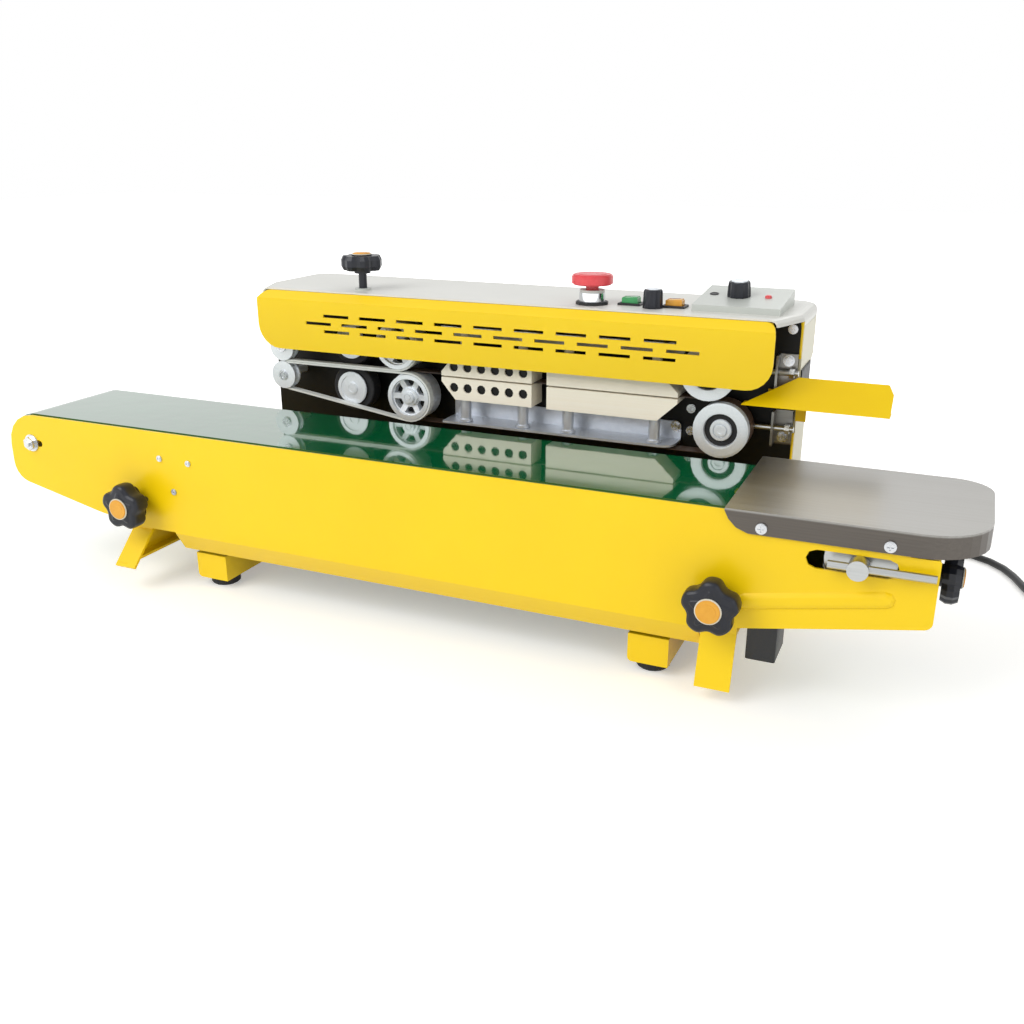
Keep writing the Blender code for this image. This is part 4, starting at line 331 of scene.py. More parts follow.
# ---- Cable box ------------------------------------------------------------------------
# A small terminal box of black ABS behind the front panel, where the conveyor motor's lead is
# joined. It is fastened inside the panel and shows below the panel's edge.
# Moulded ABS: satin black with a spark-eroded grain, 0.4 mm in the real one, drawn at 1.5 mm.
black_abs, place = new_finish("spark-grained black ABS", "#17181B", 0.45)
grain = add_node(black_abs, "TexNoise", {"Vector": place, "Scale": 650.0, "Detail": 2.0})
add_node(black_abs, "MapRange", {"Value": grain, "To Min": 0.38, "To Max": 0.56}, "Roughness")
add_node(black_abs, "Bump", {"Height": grain, "Distance": 0.0001}, "Normal")
cable_box = square_blank("cable_box", (0.2905, -0.1266, 0.0370), (0.3130, -0.0900, 0.0900))
pick_faces(cable_box, lambda centre, normal: normal.z < -0.9)
bpy.ops.mesh.inset(thickness=0.0022, depth=0)
bpy.ops.mesh.extrude_region_move(TRANSFORM_OT_translate={"value": (0, 0, 0.0012)})
bpy.ops.mesh.select_all(action="SELECT")
bpy.ops.mesh.bevel(offset=0.0009, segments=2, affect="EDGES")
finish_piece(cable_box, black_abs, "conveyor")

# ---- Conveyor belt --------------------------------------------------------------------
# An endless belt of glossy green PVC on a woven polyester carrier. It runs over the bed from
# the tail roller to the drive roller, and its tension holds it there.
# Calendered PVC: almost a mirror for the head behind it, with the carrier's ripple of 22 mm.
belt_pvc, place = new_finish("calendered green PVC", "#086238", 0.07)
shader = belt_pvc.node_tree.nodes["Principled BSDF"]
shader.inputs["IOR"].default_value = 1.65
shader.inputs["Coat Weight"].default_value = 1.0
shader.inputs["Coat IOR"].default_value = 2.0
shader.inputs["Coat Roughness"].default_value = 0.03
cloud = add_node(belt_pvc, "TexNoise", {"Vector": place, "Scale": 22.0, "Detail": 5.0})
add_node(belt_pvc, "Mix", {"data_type": "RGBA", 0: cloud, 6: linear("#06552F"),
                           7: linear("#0B6E42")}, "Base Color")
ripple = add_node(belt_pvc, "TexNoise", {"Vector": place, "Scale": 45.0, "Detail": 1.0})
add_node(belt_pvc, "Bump", {"Height": ripple, "Distance": 0.0002}, "Normal")
dress(belt_pvc, "conveyor_belt")

# ---- Stainless sheet and shafts -------------------------------------------------------
# The belt's bed, rollers, tensioner and tray, and the brackets, rails, carriage and tensioners
# of the head: bent or turned from steel and screwed in place.
# Brushed stainless: grey steel with long scratches along X, 0.05 mm apart in the real sheet
# and drawn about 1 mm apart, which stretch the highlights across them.
brushed, place = new_finish("brushed stainless steel", "#B4B6B6", 0.30, 1.0)
stretch = add_node(brushed, "Mapping", {"Vector": place, "Scale": (12.0, 900.0, 900.0)})
line = add_node(brushed, "TexNoise", {"Vector": stretch, "Scale": 1.0, "Detail": 4.0})
add_node(brushed, "MapRange", {"Value": line, "To Min": 0.20, "To Max": 0.42}, "Roughness")
add_node(brushed, "Mix", {"data_type": "RGBA", 0: line, 6: linear("#A6A9AA"),
                          7: linear("#C2C4C3")}, "Base Color")
add_node(brushed, "Bump", {"Height": line, "Distance": 0.00005}, "Normal")
dress(brushed, "belt_bed", "drive_roller", "motor_pinion", "tension_roller",
      "roller_tensioner", "band_tensioner_lower", "band_tensioner_upper", "press_carriage")
# The tray and the brackets are a darker, hot-rolled grade with the same brushing. The tray's
# folded lip, below its 1.5 mm of sheet, is given a darker colour as painted shade.
dark_brushed, place = new_finish("dark brushed stainless steel", "#8E8D89", 0.34, 1.0)
stretch = add_node(dark_brushed, "Mapping", {"Vector": place, "Scale": (10.0, 800.0, 800.0)})
line = add_node(dark_brushed, "TexNoise", {"Vector": stretch, "Scale": 1.0, "Detail": 4.0})
add_node(dark_brushed, "MapRange", {"Value": line, "To Min": 0.26, "To Max": 0.46},
         "Roughness")
sheet = add_node(dark_brushed, "Mix", {"data_type": "RGBA", 0: line, 6: linear("#7D7B76"),
                                       7: linear("#9D9C99")})
# Painted shade: below LIP_EDGE the lip takes this darker colour in place of the sheet's.
painted_shade_lip = add_node(dark_brushed, "Mix", {"data_type": "RGBA", 0: line, 6: linear("#55514D"),
                                     7: linear("#66615C")})
LIP_EDGE = 0.1555
height = add_node(dark_brushed, "SeparateXYZ", {"Vector": place}).node.outputs["Z"]
above = add_node(dark_brushed, "MapRange", {"Value": height, "From Min": LIP_EDGE - 0.0005,
                                            "From Max": LIP_EDGE + 0.0005})
add_node(dark_brushed, "Mix", {"data_type": "RGBA", 0: above, 6: painted_shade_lip, 7: sheet},
         "Base Color")
add_node(dark_brushed, "Bump", {"Height": line, "Distance": 0.00004}, "Normal")
dress(dark_brushed, "end_tray", "tension_bracket_lower", "tension_bracket_upper")
# Galvanised sheet: the rails are pale and bluish, with the cloud of the zinc bath. Its
# crystals of 6 mm are drawn at their own size.
galvanised, place = new_finish("galvanised steel sheet", "#D3D9E1", 0.38, 0.65)
cloud = add_node(galvanised, "TexNoise", {"Vector": place, "Scale": 160.0, "Detail": 2.0})
add_node(galvanised, "Mix", {"data_type": "RGBA", 0: cloud, 6: linear("#C6CCD6"),
                             7: linear("#E0E4EA")}, "Base Color")
add_node(galvanised, "MapRange", {"Value": cloud, "To Min": 0.30, "To Max": 0.46},
         "Roughness")
add_node(galvanised, "Bump", {"Height": cloud, "Distance": 0.00004}, "Normal")
dress(galvanised, "lower_rail", "upper_rail")

# ---- Tray screws ----------------------------------------------------------------------
# Two pan-head screws of zinc-plated steel with a cross recess. They go through the tray's lip
# into the front panel.


def cross_screw(name, centre, axis, radius, rise, body):
    """A pan-head screw: a domed head with a cross cut into it by two crossed bars."""
    head = round_blank(name, centre, axis, radius, rise, 24)
    step_in(head, axis, [(radius * 0.12, rise * 0.22), (radius * 0.18, rise * 0.14)])
    bpy.ops.object.mode_set(mode="OBJECT")
    out = Vector(axis)
    turn = out.to_track_quat("Z", "Y").to_matrix().to_4x4()
    for length, width in ((radius * 1.15, radius * 0.24), (radius * 0.24, radius * 1.15)):
        cutter = square_blank("recess", (-length / 2, -width / 2, 0),
                              (length / 2, width / 2, rise))
        cutter.data.transform(Matrix.Translation(Vector(centre) + out * rise * 0.35) @ turn)
        bpy.context.view_layer.objects.active = head
        cut = head.modifiers.new("recess", "BOOLEAN")
        cut.operation = "DIFFERENCE"
        cut.solver = "EXACT"
        cut.object = cutter
        bpy.ops.object.modifier_apply(modifier=cut.name)
        bpy.data.objects.remove(cutter)
    return finish_piece(head, zinc_steel, body)


PAN_RADIUS, PAN_RISE = 0.0042, 0.0018
tray_screw = cross_screw("tray_screw_1", (0.2956, -0.1317, 0.1450), FRONT, PAN_RADIUS,
                         PAN_RISE, "conveyor")
copy_piece(tray_screw, "tray_screw_2", (0.0884, 0, 0), "conveyor")

# ---- Clamping knobs -------------------------------------------------------------------
# Star knobs moulded in blue-black phenolic on steel studs: two clamp the conveyor at its
# height, one sets the belt, one presses the wheels. Each hub has a snap-in orange cap.
# Phenolic: hard satin shine on the lobes, a little worn where fingers hold them.
phenolic, place = new_finish("blue-black phenolic", "#171922", 0.34)
shader = phenolic.node_tree.nodes["Principled BSDF"]
shader.inputs["Specular IOR Level"].default_value = 0.38
worn = add_node(phenolic, "TexNoise", {"Vector": place, "Scale": 160.0, "Detail": 4.0})
add_node(phenolic, "MapRange", {"Value": worn, "To Min": 0.22, "To Max": 0.44}, "Roughness")
add_node(phenolic, "Mix", {"data_type": "RGBA", 0: worn, 6: linear("#12141B"),
                           7: linear("#1F222C")}, "Base Color")
add_node(phenolic, "Bump", {"Height": worn, "Distance": 0.0001}, "Normal")
dress(phenolic, "clamp_knob_left", "clamp_knob_right", "end_knob", "pressure_knob",
      "speed_knob", "temperature_dial", "cooling_fan")
# Cap polypropylene: soft orange shine with a slight flow mark from its gate.
cap_orange, place = new_finish("orange polypropylene cap", "#E2A22A", 0.36)
flow = add_node(cap_orange, "TexNoise", {"Vector": place, "Scale": 240.0, "Detail": 2.0})
add_node(cap_orange, "Mix", {"data_type": "RGBA", 0: flow, 6: linear("#DA9720"),
                             7: linear("#EBAE3A")}, "Base Color")
add_node(cap_orange, "MapRange", {"Value": flow, "To Min": 0.28, "To Max": 0.42}, "Roughness")
# Pale ring: the cap's collar, matt off-white polypropylene.
cap_pale, place = new_finish("off-white polypropylene collar", "#D9D5C4", 0.42)
flow = add_node(cap_pale, "TexNoise", {"Vector": place, "Scale": 240.0, "Detail": 2.0})
add_node(cap_pale, "Mix", {"data_type": "RGBA", 0: flow, 6: linear("#CFCAB6"),
                           7: linear("#E2DECF")}, "Base Color")
# The clamping knobs have five deep lobes: a 20-sided blank, its valleys drawn in towards the
# axis, crowned at the front, with the hub behind, and rounded by subdivision.
STAR_SIDES = 20
VALLEY_SHARE = 0.74
CLAMP_Z = 0.0855
for side, x in (("left", -0.288), ("right", 0.267)):
    centre = (x, -0.1489, CLAMP_Z)
    star = round_blank("clamp_star_" + side, centre, FRONT, 0.0226, 0.0150, STAR_SIDES)
    bpy.ops.object.mode_set(mode="EDIT")
    bpy.ops.mesh.select_mode(type="VERT")
    bpy.ops.mesh.select_all(action="DESELECT")
    open_mesh = bmesh.from_edit_mesh(star.data)
    for corner in open_mesh.verts:
        bearing = math.degrees(math.atan2(corner.co.z - CLAMP_Z, corner.co.x - x))
        if round((bearing - 90) * STAR_SIDES / 360) % 4 == 2:
            corner.select_set(True)
    bmesh.update_edit_mesh(star.data)
    bpy.ops.transform.resize(value=(VALLEY_SHARE, 1, VALLEY_SHARE), center_override=centre)
    step_in(star, FRONT, [(0.0022, 0.0012), (0.0050, 0.0010), (0.0030, 0.0004)])
    step_in(star, REAR, [(0.0030, 0.0008), (0.0035, 0.0004), (0, 0.0104)])
    bpy.ops.object.mode_set(mode="OBJECT")
    rounded = star.modifiers.new("rounded", "SUBSURF")
    rounded.levels = rounded.render_levels = 2
    bpy.ops.object.modifier_apply(modifier=rounded.name)
    finish_piece(star, phenolic, "clamp_knob_" + side, 60)
    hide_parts("clamp_knob_" + side)
    stud = round_blank("clamp_stud_" + side, (x, -0.1310, CLAMP_Z), FRONT, 0.0038, 0.0120, 20)
    step_in(stud, REAR, [(0.0006, 0.0005)])
    finish_piece(stud, zinc_steel, "clamp_knob_" + side)
for knob, seat, axis, cap_radius in (
        ("clamp_knob_left", (-0.288, -0.1588, CLAMP_Z), FRONT, 0.0102),
        ("clamp_knob_right", (0.267, -0.1588, CLAMP_Z), FRONT, 0.0102),
        ("end_knob", (0.4333, -0.084, 0.1115), (1, 0, 0), 0.0078),
        ("pressure_knob", (-0.1425, 0.053, 0.3030), UP, 0.0098)):
    out = Vector(axis)
    collar = round_blank(knob + "_collar", Vector(seat) + out * 0.0003, axis, cap_radius,
                         0.0006, 36)
    step_in(collar, axis, [(0.0003, 0.0002)])
    finish_piece(collar, cap_pale, knob)
    cap = round_blank(knob + "_cap", Vector(seat) + out * 0.0008, axis, cap_radius * 0.90,
                      0.0008, 36)
    step_in(cap, axis, [(cap_radius * 0.06, 0.0003), (cap_radius * 0.25, 0.0002)])
    finish_piece(cap, cap_orange, knob, 50)

# ---- Housing and lid ------------------------------------------------------------------
# The housing is folded steel in warm ivory powder coat and the lid in pale grey. The lid is
# screwed to the housing's rim from behind, with four zinc-plated pan heads.
# Powder coats: satin and faintly clouded, with a 2 mm orange peel drawn at 4 mm.
ivory_coat, place = new_finish("ivory powder coat", "#CAC6AA", 0.38)
cloud = add_node(ivory_coat, "TexNoise", {"Vector": place, "Scale": 12.0, "Detail": 4.0})
add_node(ivory_coat, "Mix", {"data_type": "RGBA", 0: cloud, 6: linear("#C4BF9F"),
                             7: linear("#D1CEB8")}, "Base Color")
peel = add_node(ivory_coat, "TexNoise", {"Vector": place, "Scale": 250.0, "Detail": 2.0})
add_node(ivory_coat, "MapRange", {"Value": cloud, "To Min": 0.32, "To Max": 0.44}, "Roughness")
add_node(ivory_coat, "Bump", {"Height": peel, "Distance": 0.00006}, "Normal")
dress(ivory_coat, "rear_housing")
grey_coat, place = new_finish("pale grey powder coat", "#D8D8D2", 0.38)
cloud = add_node(grey_coat, "TexNoise", {"Vector": place, "Scale": 14.0, "Detail": 4.0})
lid_grey = add_node(grey_coat, "Mix", {"data_type": "RGBA", 0: cloud, 6: linear("#CFCFC8"),
                                       7: linear("#DEDED9")})
# The controller's case, which stands above the lid's face, is moulded in a greyer plastic.
LID_FACE = 0.2688
height = add_node(grey_coat, "SeparateXYZ", {"Vector": place}).node.outputs["Z"]
above = add_node(grey_coat, "MapRange", {"Value": height, "From Min": LID_FACE - 0.0002,
                                         "From Max": LID_FACE + 0.0002})
add_node(grey_coat, "Mix", {"data_type": "RGBA", 0: above, 6: lid_grey,
                            7: linear("#C0C4BE")}, "Base Color")
peel = add_node(grey_coat, "TexNoise", {"Vector": place, "Scale": 250.0, "Detail": 2.0})
add_node(grey_coat, "MapRange", {"Value": cloud, "To Min": 0.30, "To Max": 0.44}, "Roughness")
add_node(grey_coat, "Bump", {"Height": peel, "Distance": 0.00006}, "Normal")
dress(grey_coat, "top_panel")
lid_screw = cross_screw("lid_screw_1", (-0.235, 0.1617, 0.2632), REAR, 0.0032, 0.0014, "base")
for number, shift in ((2, 0.163), (3, 0.327), (4, 0.490)):
    copy_piece(lid_screw, f"lid_screw_{number}", (shift, 0, 0), "base")

# ---- Mounting plate -------------------------------------------------------------------
# A 3 mm steel plate in black stoved enamel that carries the wheels, rails and motor. It is
# held to the housing's flange by pan-head screws, and its right edge meets a yellow strip.
# Stoved enamel: deep black, half gloss, with dust nibs of 1 mm drawn at 3 mm.
black_enamel, place = new_finish("black stoved enamel", "#080807", 0.42)
shader = black_enamel.node_tree.nodes["Principled BSDF"]
shader.inputs["Specular IOR Level"].default_value = 0.25
speck = add_node(black_enamel, "TexNoise", {"Vector": place, "Scale": 300.0, "Detail": 2.0})
add_node(black_enamel, "Mix", {"data_type": "RGBA", 0: speck, 6: linear("#060605"),
                               7: linear("#0D0D0C")}, "Base Color")
add_node(black_enamel, "MapRange", {"Value": speck, "To Min": 0.36, "To Max": 0.54},
         "Roughness")
add_node(black_enamel, "Bump", {"Height": speck, "Distance": 0.00008}, "Normal")
dress(black_enamel, "mounting_plate", "drive_motor", "conveyor_motor")
plate_screw = cross_screw("plate_screw_1", (0.2755, 0.0668, 0.2560), FRONT, PAN_RADIUS,
                          PAN_RISE, "base")
for number, shift in ((2, (-0.0845, 0, -0.0780)), (3, (-0.0840, 0, -0.0987)),
                      (4, (-0.5270, 0, 0.0000)), (5, (-0.0055, 0, -0.2000)),
                      (6, (-0.5270, 0, -0.2000))):
    copy_piece(plate_screw, f"plate_screw_{number}", shift, "base")
for name, bottom, top in (("edge_strip", 0.2300, 0.2625), ("edge_strip_low", 0.0900, 0.1640)):
    strip = square_blank(name, (0.2812, 0.0688, bottom), (0.2838, 0.0712, top))
    bpy.ops.object.mode_set(mode="EDIT")
    bpy.ops.mesh.select_all(action="SELECT")
    bpy.ops.mesh.bevel(offset=0.0005, segments=2, affect="EDGES")
    finish_piece(strip, powder_coat, "base")
side_plate = square_blank("side_plate", (0.2840, 0.0740, 0.1910), (0.2848, 0.1240, 0.2200))
pick_faces(side_plate, lambda centre, normal: normal.x > 0.9)
bpy.ops.mesh.inset(thickness=0.0012, depth=0)
bpy.ops.mesh.extrude_region_move(TRANSFORM_OT_translate={"value": (0.0003, 0, 0)})
finish_piece(side_plate, black_enamel, "base", 25)

# ---- Inlet guide ----------------------------------------------------------------------
# A folded steel guide that leads the bag's mouth between the bands, in the deeper yellow of
# its own batch of powder coat. A short angle under it is screwed to the housing's side.
# Powder coat as on the frame, a shade darker.
guide_coat, place = new_finish("deep yellow powder coat", "#EBC600", 0.36)
shader = guide_coat.node_tree.nodes["Principled BSDF"]
shader.inputs["Specular IOR Level"].default_value = 0.30
shader.inputs["Coat Weight"].default_value = 0.05
shader.inputs["Coat Roughness"].default_value = 0.15
pool = add_node(guide_coat, "TexNoise", {"Vector": place, "Scale": 18.0, "Detail": 4.0})
add_node(guide_coat, "Mix", {"data_type": "RGBA", 0: pool, 6: linear("#E6BE00"),
                             7: linear("#F2CE00")}, "Base Color")
peel = add_node(guide_coat, "TexNoise", {"Vector": place, "Scale": 250.0, "Detail": 2.0})
add_node(guide_coat, "MapRange", {"Value": pool, "To Min": 0.26, "To Max": 0.40}, "Roughness")
add_node(guide_coat, "Bump", {"Height": peel, "Distance": 0.00006}, "Normal")
dress(guide_coat, "inlet_guide")
guide_angle = square_blank("guide_angle", (0.2842, 0.0660, 0.1765), (0.2860, 0.0860, 0.1900))
pick_faces(guide_angle, lambda centre, normal: normal.x > 0.9)
bpy.ops.mesh.inset(thickness=0.0010, depth=0)
pick_faces(guide_angle, lambda centre, normal: normal.y < -0.9)
bpy.ops.mesh.extrude_region_move(TRANSFORM_OT_translate={"value": (0, -0.0015, 0)})
pick_faces(guide_angle, lambda centre, normal: normal.x > 0.9 and centre.y < 0.0662)
bpy.ops.mesh.extrude_region_move(TRANSFORM_OT_translate={"value": (0.0070, 0, 0)})
finish_piece(guide_angle, guide_coat, "base", 25)

# ---- Seal bands and guide belts -------------------------------------------------------
# The bands are brown glass cloth coated with PTFE, welded endless. The guide belts in front of
# them are pale grey polyurethane.
# Coated glass cloth: waxy brown, woven. The weave of 0.4 mm is drawn at 1.2 mm so that it
# shows, with a deeper brown between the threads.
glass_cloth, place = new_finish("PTFE-coated glass cloth", "#4C3A2E", 0.40)
warp = add_node(glass_cloth, "TexWave", {"Vector": place, "bands_direction": "X",
                                         "Scale": 260.0, "Distortion": 0.4})
weft = add_node(glass_cloth, "TexWave", {"Vector": place, "bands_direction": "Y",
                                         "Scale": 260.0, "Distortion": 0.4})
weave = add_node(glass_cloth, "Math", {"operation": "MULTIPLY", 0: warp, 1: weft})
add_node(glass_cloth, "Mix", {"data_type": "RGBA", 0: weave, 6: linear("#3E2F25"),
                              7: linear("#6A5344")}, "Base Color")
add_node(glass_cloth, "MapRange", {"Value": weave, "To Min": 0.34, "To Max": 0.50}, "Roughness")
add_node(glass_cloth, "Bump", {"Height": weave, "Distance": 0.0001}, "Normal")
dress(glass_cloth, "seal_band_lower", "seal_band_upper")
# Cast polyurethane: pale grey, silky, with a faint cloud of wear.
guide_pu, place = new_finish("pale grey polyurethane", "#DADEDB", 0.46)
cloud = add_node(guide_pu, "TexNoise", {"Vector": place, "Scale": 120.0, "Detail": 4.0})
add_node(guide_pu, "Mix", {"data_type": "RGBA", 0: cloud, 6: linear("#D0D4D0"),
                           7: linear("#E6E8E5")}, "Base Color")
add_node(guide_pu, "Bump", {"Height": cloud, "Distance": 0.0001}, "Normal")
dress(guide_pu, "guide_belt_lower", "guide_belt_upper")

# ---- Wheels ---------------------------------------------------------------------------
# The band wheels and pulleys are turned from aluminium bar, the driven ones with six spokes.
# They run on ball bearings that a screw and a dark seal close at the front.
# Turned aluminium: pale and clean, with the fine rings of the lathe. The rings of 0.1 mm are
# drawn as a 1.5 mm mottle, because each wheel has its own centre.
turned_alloy, place = new_finish("turned aluminium", "#E2E7EC", 0.38, 0.45)
fine = add_node(turned_alloy, "TexNoise", {"Vector": place, "Scale": 650.0, "Detail": 3.0})
add_node(turned_alloy, "MapRange", {"Value": fine, "To Min": 0.28, "To Max": 0.46},
         "Roughness")
add_node(turned_alloy, "Mix", {"data_type": "RGBA", 0: fine, 6: linear("#DAE0E6"),
                               7: linear("#EEF1F4")}, "Base Color")
add_node(turned_alloy, "Bump", {"Height": fine, "Distance": 0.00004}, "Normal")
dress(turned_alloy, "spoked_wheel_lower", "spoked_wheel_upper", "right_wheel_lower",
      "right_wheel_upper", "guide_pulley_lower", "guide_pulley_upper")
SPOKED_AXES = {"lower": (-0.0837, 0.1697), "upper": (-0.0957, 0.2193)}
RIGHT_AXES = {"lower": (0.2263, 0.1697), "upper": (0.2123, 0.2193)}
PULLEY_AXES = {"lower": (-0.229, 0.1801), "upper": (-0.229, 0.2089)}
PRESS_AXES = {"lower": (-0.153, 0.1710), "upper": (-0.153, 0.2180)}
LIFT = {name: (axes["upper"][0] - axes["lower"][0], 0, axes["upper"][1] - axes["lower"][1])
        for name, axes in (("spoked", SPOKED_AXES), ("right", RIGHT_AXES),
                           ("pulley", PULLEY_AXES), ("press", PRESS_AXES))}
x, z = SPOKED_AXES["lower"]
web = round_blank("spoked_wheel_web_lower", (x, 0.0424, z), FRONT, 0.0171, 0.0010, 36)
step_in(web, FRONT, [(0.0060, 0.0004)])
finish_piece(web, black_enamel, "spoked_wheel_lower")
copy_piece(web, "spoked_wheel_web_upper", LIFT["spoked"], "spoked_wheel_upper")
hub = round_blank("spoked_wheel_hub_lower", (x, 0.0318, z), FRONT, 0.0058, 0.0026, 32)
step_in(hub, FRONT, [(0.0008, 0.0004), (0.0014, -0.0008), (0.0006, 0.0010),
                          (0.0008, 0.0002)])
finish_piece(hub, turned_alloy, "spoked_wheel_lower")
copy_piece(hub, "spoked_wheel_hub_upper", LIFT["spoked"], "spoked_wheel_upper")
x, z = RIGHT_AXES["lower"]
seal = round_blank("right_wheel_seal_lower", (x, 0.0351, z), FRONT, 0.0146, 0.0012, 40)
step_in(seal, FRONT, [(0.0008, -0.0004), (0.0030, 0.0003)])
finish_piece(seal, foot_rubber, "right_wheel_lower")
copy_piece(seal, "right_wheel_seal_upper", LIFT["right"], "right_wheel_upper")
cup = round_blank("right_wheel_hub_lower", (x, 0.0330, z), FRONT, 0.0093, 0.0024, 36)
step_in(cup, FRONT, [(0.0006, 0.0005), (0.0021, -0.0014), (0.0012, 0.0020),
                          (0.0006, 0.0003), (0.0020, -0.0006)])
finish_piece(cup, turned_alloy, "right_wheel_lower")
copy_piece(cup, "right_wheel_hub_upper", LIFT["right"], "right_wheel_upper")
rim = round_blank("right_wheel_face_lower", (x, 0.0309, z), FRONT, 0.0236, 0.0006, 48)
step_in(rim, FRONT, [(0.0009, 0.0004), (0.0066, -0.0004), (0.0008, -0.0004)])
bpy.ops.mesh.delete(type="FACE")
pick_faces(rim, lambda centre, normal: normal.y > 0.9)
bpy.ops.mesh.inset(thickness=0.0083, depth=0)
bpy.ops.mesh.delete(type="FACE")
bpy.ops.mesh.select_mode(type="EDGE")
bpy.ops.mesh.select_all(action="DESELECT")
bpy.ops.mesh.select_non_manifold()
bpy.ops.mesh.bridge_edge_loops()
finish_piece(rim, turned_alloy, "right_wheel_lower")
copy_piece(rim, "right_wheel_face_upper", LIFT["right"], "right_wheel_upper")
x, z = PULLEY_AXES["lower"]
nose = round_blank("guide_pulley_nose_lower", (x, 0.0295, z), FRONT, 0.0052, 0.0012, 28)
step_in(nose, FRONT, [(0.0007, 0.0004), (0.0016, -0.0008), (0.0005, 0.0006)])
finish_piece(nose, zinc_steel, "guide_pulley_lower")
copy_piece(nose, "guide_pulley_nose_upper", LIFT["pulley"], "guide_pulley_upper")
x, z = PRESS_AXES["lower"]
disc = round_blank("press_wheel_disc_lower", (x, 0.0404, z), FRONT, 0.0167, 0.0012, 44)
step_in(disc, FRONT, [(0.0009, 0.0005), (0.0025, 0), (0.0005, -0.0008), (0.0062, 0),
                           (0.0004, 0.0012), (0.0010, 0.0003), (0.0014, -0.0004)])
finish_piece(disc, turned_alloy, "press_wheel_lower")
copy_piece(disc, "press_wheel_disc_upper", LIFT["press"], "press_wheel_upper")

# ---- Heating and cooling blocks -------------------------------------------------------
# Milled aluminium blocks, anodised champagne, that clamp the bands above and below. They
# stand on steel guide pins in galvanised sleeves on the lower rail.
# Anodised aluminium: warm pale sheen over milling marks 0.4 mm apart, drawn at 1.5 mm.
anodised, place = new_finish("champagne anodised aluminium", "#FAF2E0", 0.40, 0.05)
along = add_node(anodised, "Mapping", {"Vector": place, "Scale": (8.0, 700.0, 700.0)})
mill = add_node(anodised, "TexNoise", {"Vector": along, "Scale": 1.0, "Detail": 3.0})
add_node(anodised, "Mix", {"data_type": "RGBA", 0: mill, 6: linear("#F7EDD8"),
                           7: linear("#FCF6E8")}, "Base Color")
add_node(anodised, "MapRange", {"Value": mill, "To Min": 0.28, "To Max": 0.46}, "Roughness")
add_node(anodised, "Bump", {"Height": mill, "Distance": 0.00005}, "Normal")
dress(anodised, "heating_block_lower", "heating_block_upper", "cooling_block_lower",
      "cooling_block_upper")
for number, x in enumerate((-0.0265, 0.034, 0.080, 0.1635), 1):
    sleeve = round_blank(f"guide_sleeve_{number}", (x, 0.044, 0.1610), UP, 0.0052,
                         0.0226, 28)
    step_in(sleeve, UP, [(0.0003, 0.0004)])
    finish_piece(sleeve, galvanised, "base")
    collar = round_blank(f"sleeve_collar_{number}", (x, 0.044, 0.1506), UP, 0.0068,
                         0.0022, 28)
    step_in(collar, UP, [(0.0005, 0.0004)])
    finish_piece(collar, galvanised, "base")
# Black discs paint the shade inside the cooling blocks' air bores, six in each block.
BORE_PITCH = 0.0144
bore = round_blank("cooling_bore_shade_1_lower", (-0.0327, 0.0331, 0.1845), FRONT, 0.0048,
                   0.0012, 20)
step_in(bore, FRONT, [(0.0014, -0.0005)])
finish_piece(bore, black_enamel, "base")
for level, rise, body in (("lower", 0, "base"), ("upper", 0.0200, "cooling_block_upper")):
    for number in range(6):
        if number or rise:
            copy_piece(bore, f"cooling_bore_shade_{number + 1}_{level}",
                       (BORE_PITCH * number, 0, rise), body)

# ---- Bolts of the rails and brackets --------------------------------------------------
# Hexagon bolts of zinc-plated steel, each on a washer. They hold the lower rail's ear and
# both tension brackets to the mounting plate.
for name, x, y, z in (("rail_bolt", 0.1784, 0.0640, 0.1609),
                      ("bracket_bolt_upper", 0.2745, 0.0652, 0.2290),
                      ("bracket_bolt_lower", 0.2745, 0.0652, 0.1612)):
    washer = round_blank(name + "_washer", (x, y - 0.0003, z), FRONT, 0.0050, 0.0010, 28)
    step_in(washer, FRONT, [(0.0004, 0.0002)])
    finish_piece(washer, zinc_steel, "base")
    bolt = round_blank(name, (x, y - 0.0020, z), FRONT, 0.0038, 0.0026, 6)
    step_in(bolt, FRONT, [(0.0006, 0.0003), (0.0010, -0.0004)])
    finish_piece(bolt, zinc_steel, "base", 25)

# ---- Emergency stop -------------------------------------------------------------------
# A flat mushroom of red ABS on a chromed collar. A black ring nut holds the collar in the
# lid, and the mushroom slides down in it when it is pressed.
# Moulded red ABS: saturated and glossy, a little lighter where it is handled.
stop_red, place = new_finish("moulded red ABS", "#DE3F47", 0.28)
rub = add_node(stop_red, "TexNoise", {"Vector": place, "Scale": 180.0, "Detail": 3.0})
add_node(stop_red, "Mix", {"data_type": "RGBA", 0: rub, 6: linear("#D8363F"),
                           7: linear("#E8555C")}, "Base Color")
add_node(stop_red, "MapRange", {"Value": rub, "To Min": 0.22, "To Max": 0.38}, "Roughness")
dress(stop_red, "estop_button")
# Chrome: a mirror with a hair of haze.
chrome, place = new_finish("bright chrome plate", "#D9DCE0", 0.10, 1.0)
haze = add_node(chrome, "TexNoise", {"Vector": place, "Scale": 220.0, "Detail": 2.0})
add_node(chrome, "MapRange", {"Value": haze, "To Min": 0.06, "To Max": 0.18}, "Roughness")
STOP_X, STOP_Y = 0.0965, 0.056
stop_collar = round_blank("stop_collar", (STOP_X, STOP_Y, 0.2738), UP, 0.0118, 0.0104, 40)
step_in(stop_collar, UP, [(0.0010, 0.0006)])
finish_piece(stop_collar, chrome, "base")
stop_nut = round_blank("stop_ring_nut", (STOP_X, STOP_Y, 0.2696), UP, 0.0150, 0.0022, 12)
step_in(stop_nut, UP, [(0.0010, 0.0006)])
finish_piece(stop_nut, black_abs, "base", 20)
mushroom = round_blank("stop_mushroom", (STOP_X, STOP_Y, 0.2902), UP, 0.0188, 0.0060, 48)
step_in(mushroom, UP, [(0.0005, 0.0012), (0.0016, 0.0009), (0.0040, 0.0003)])
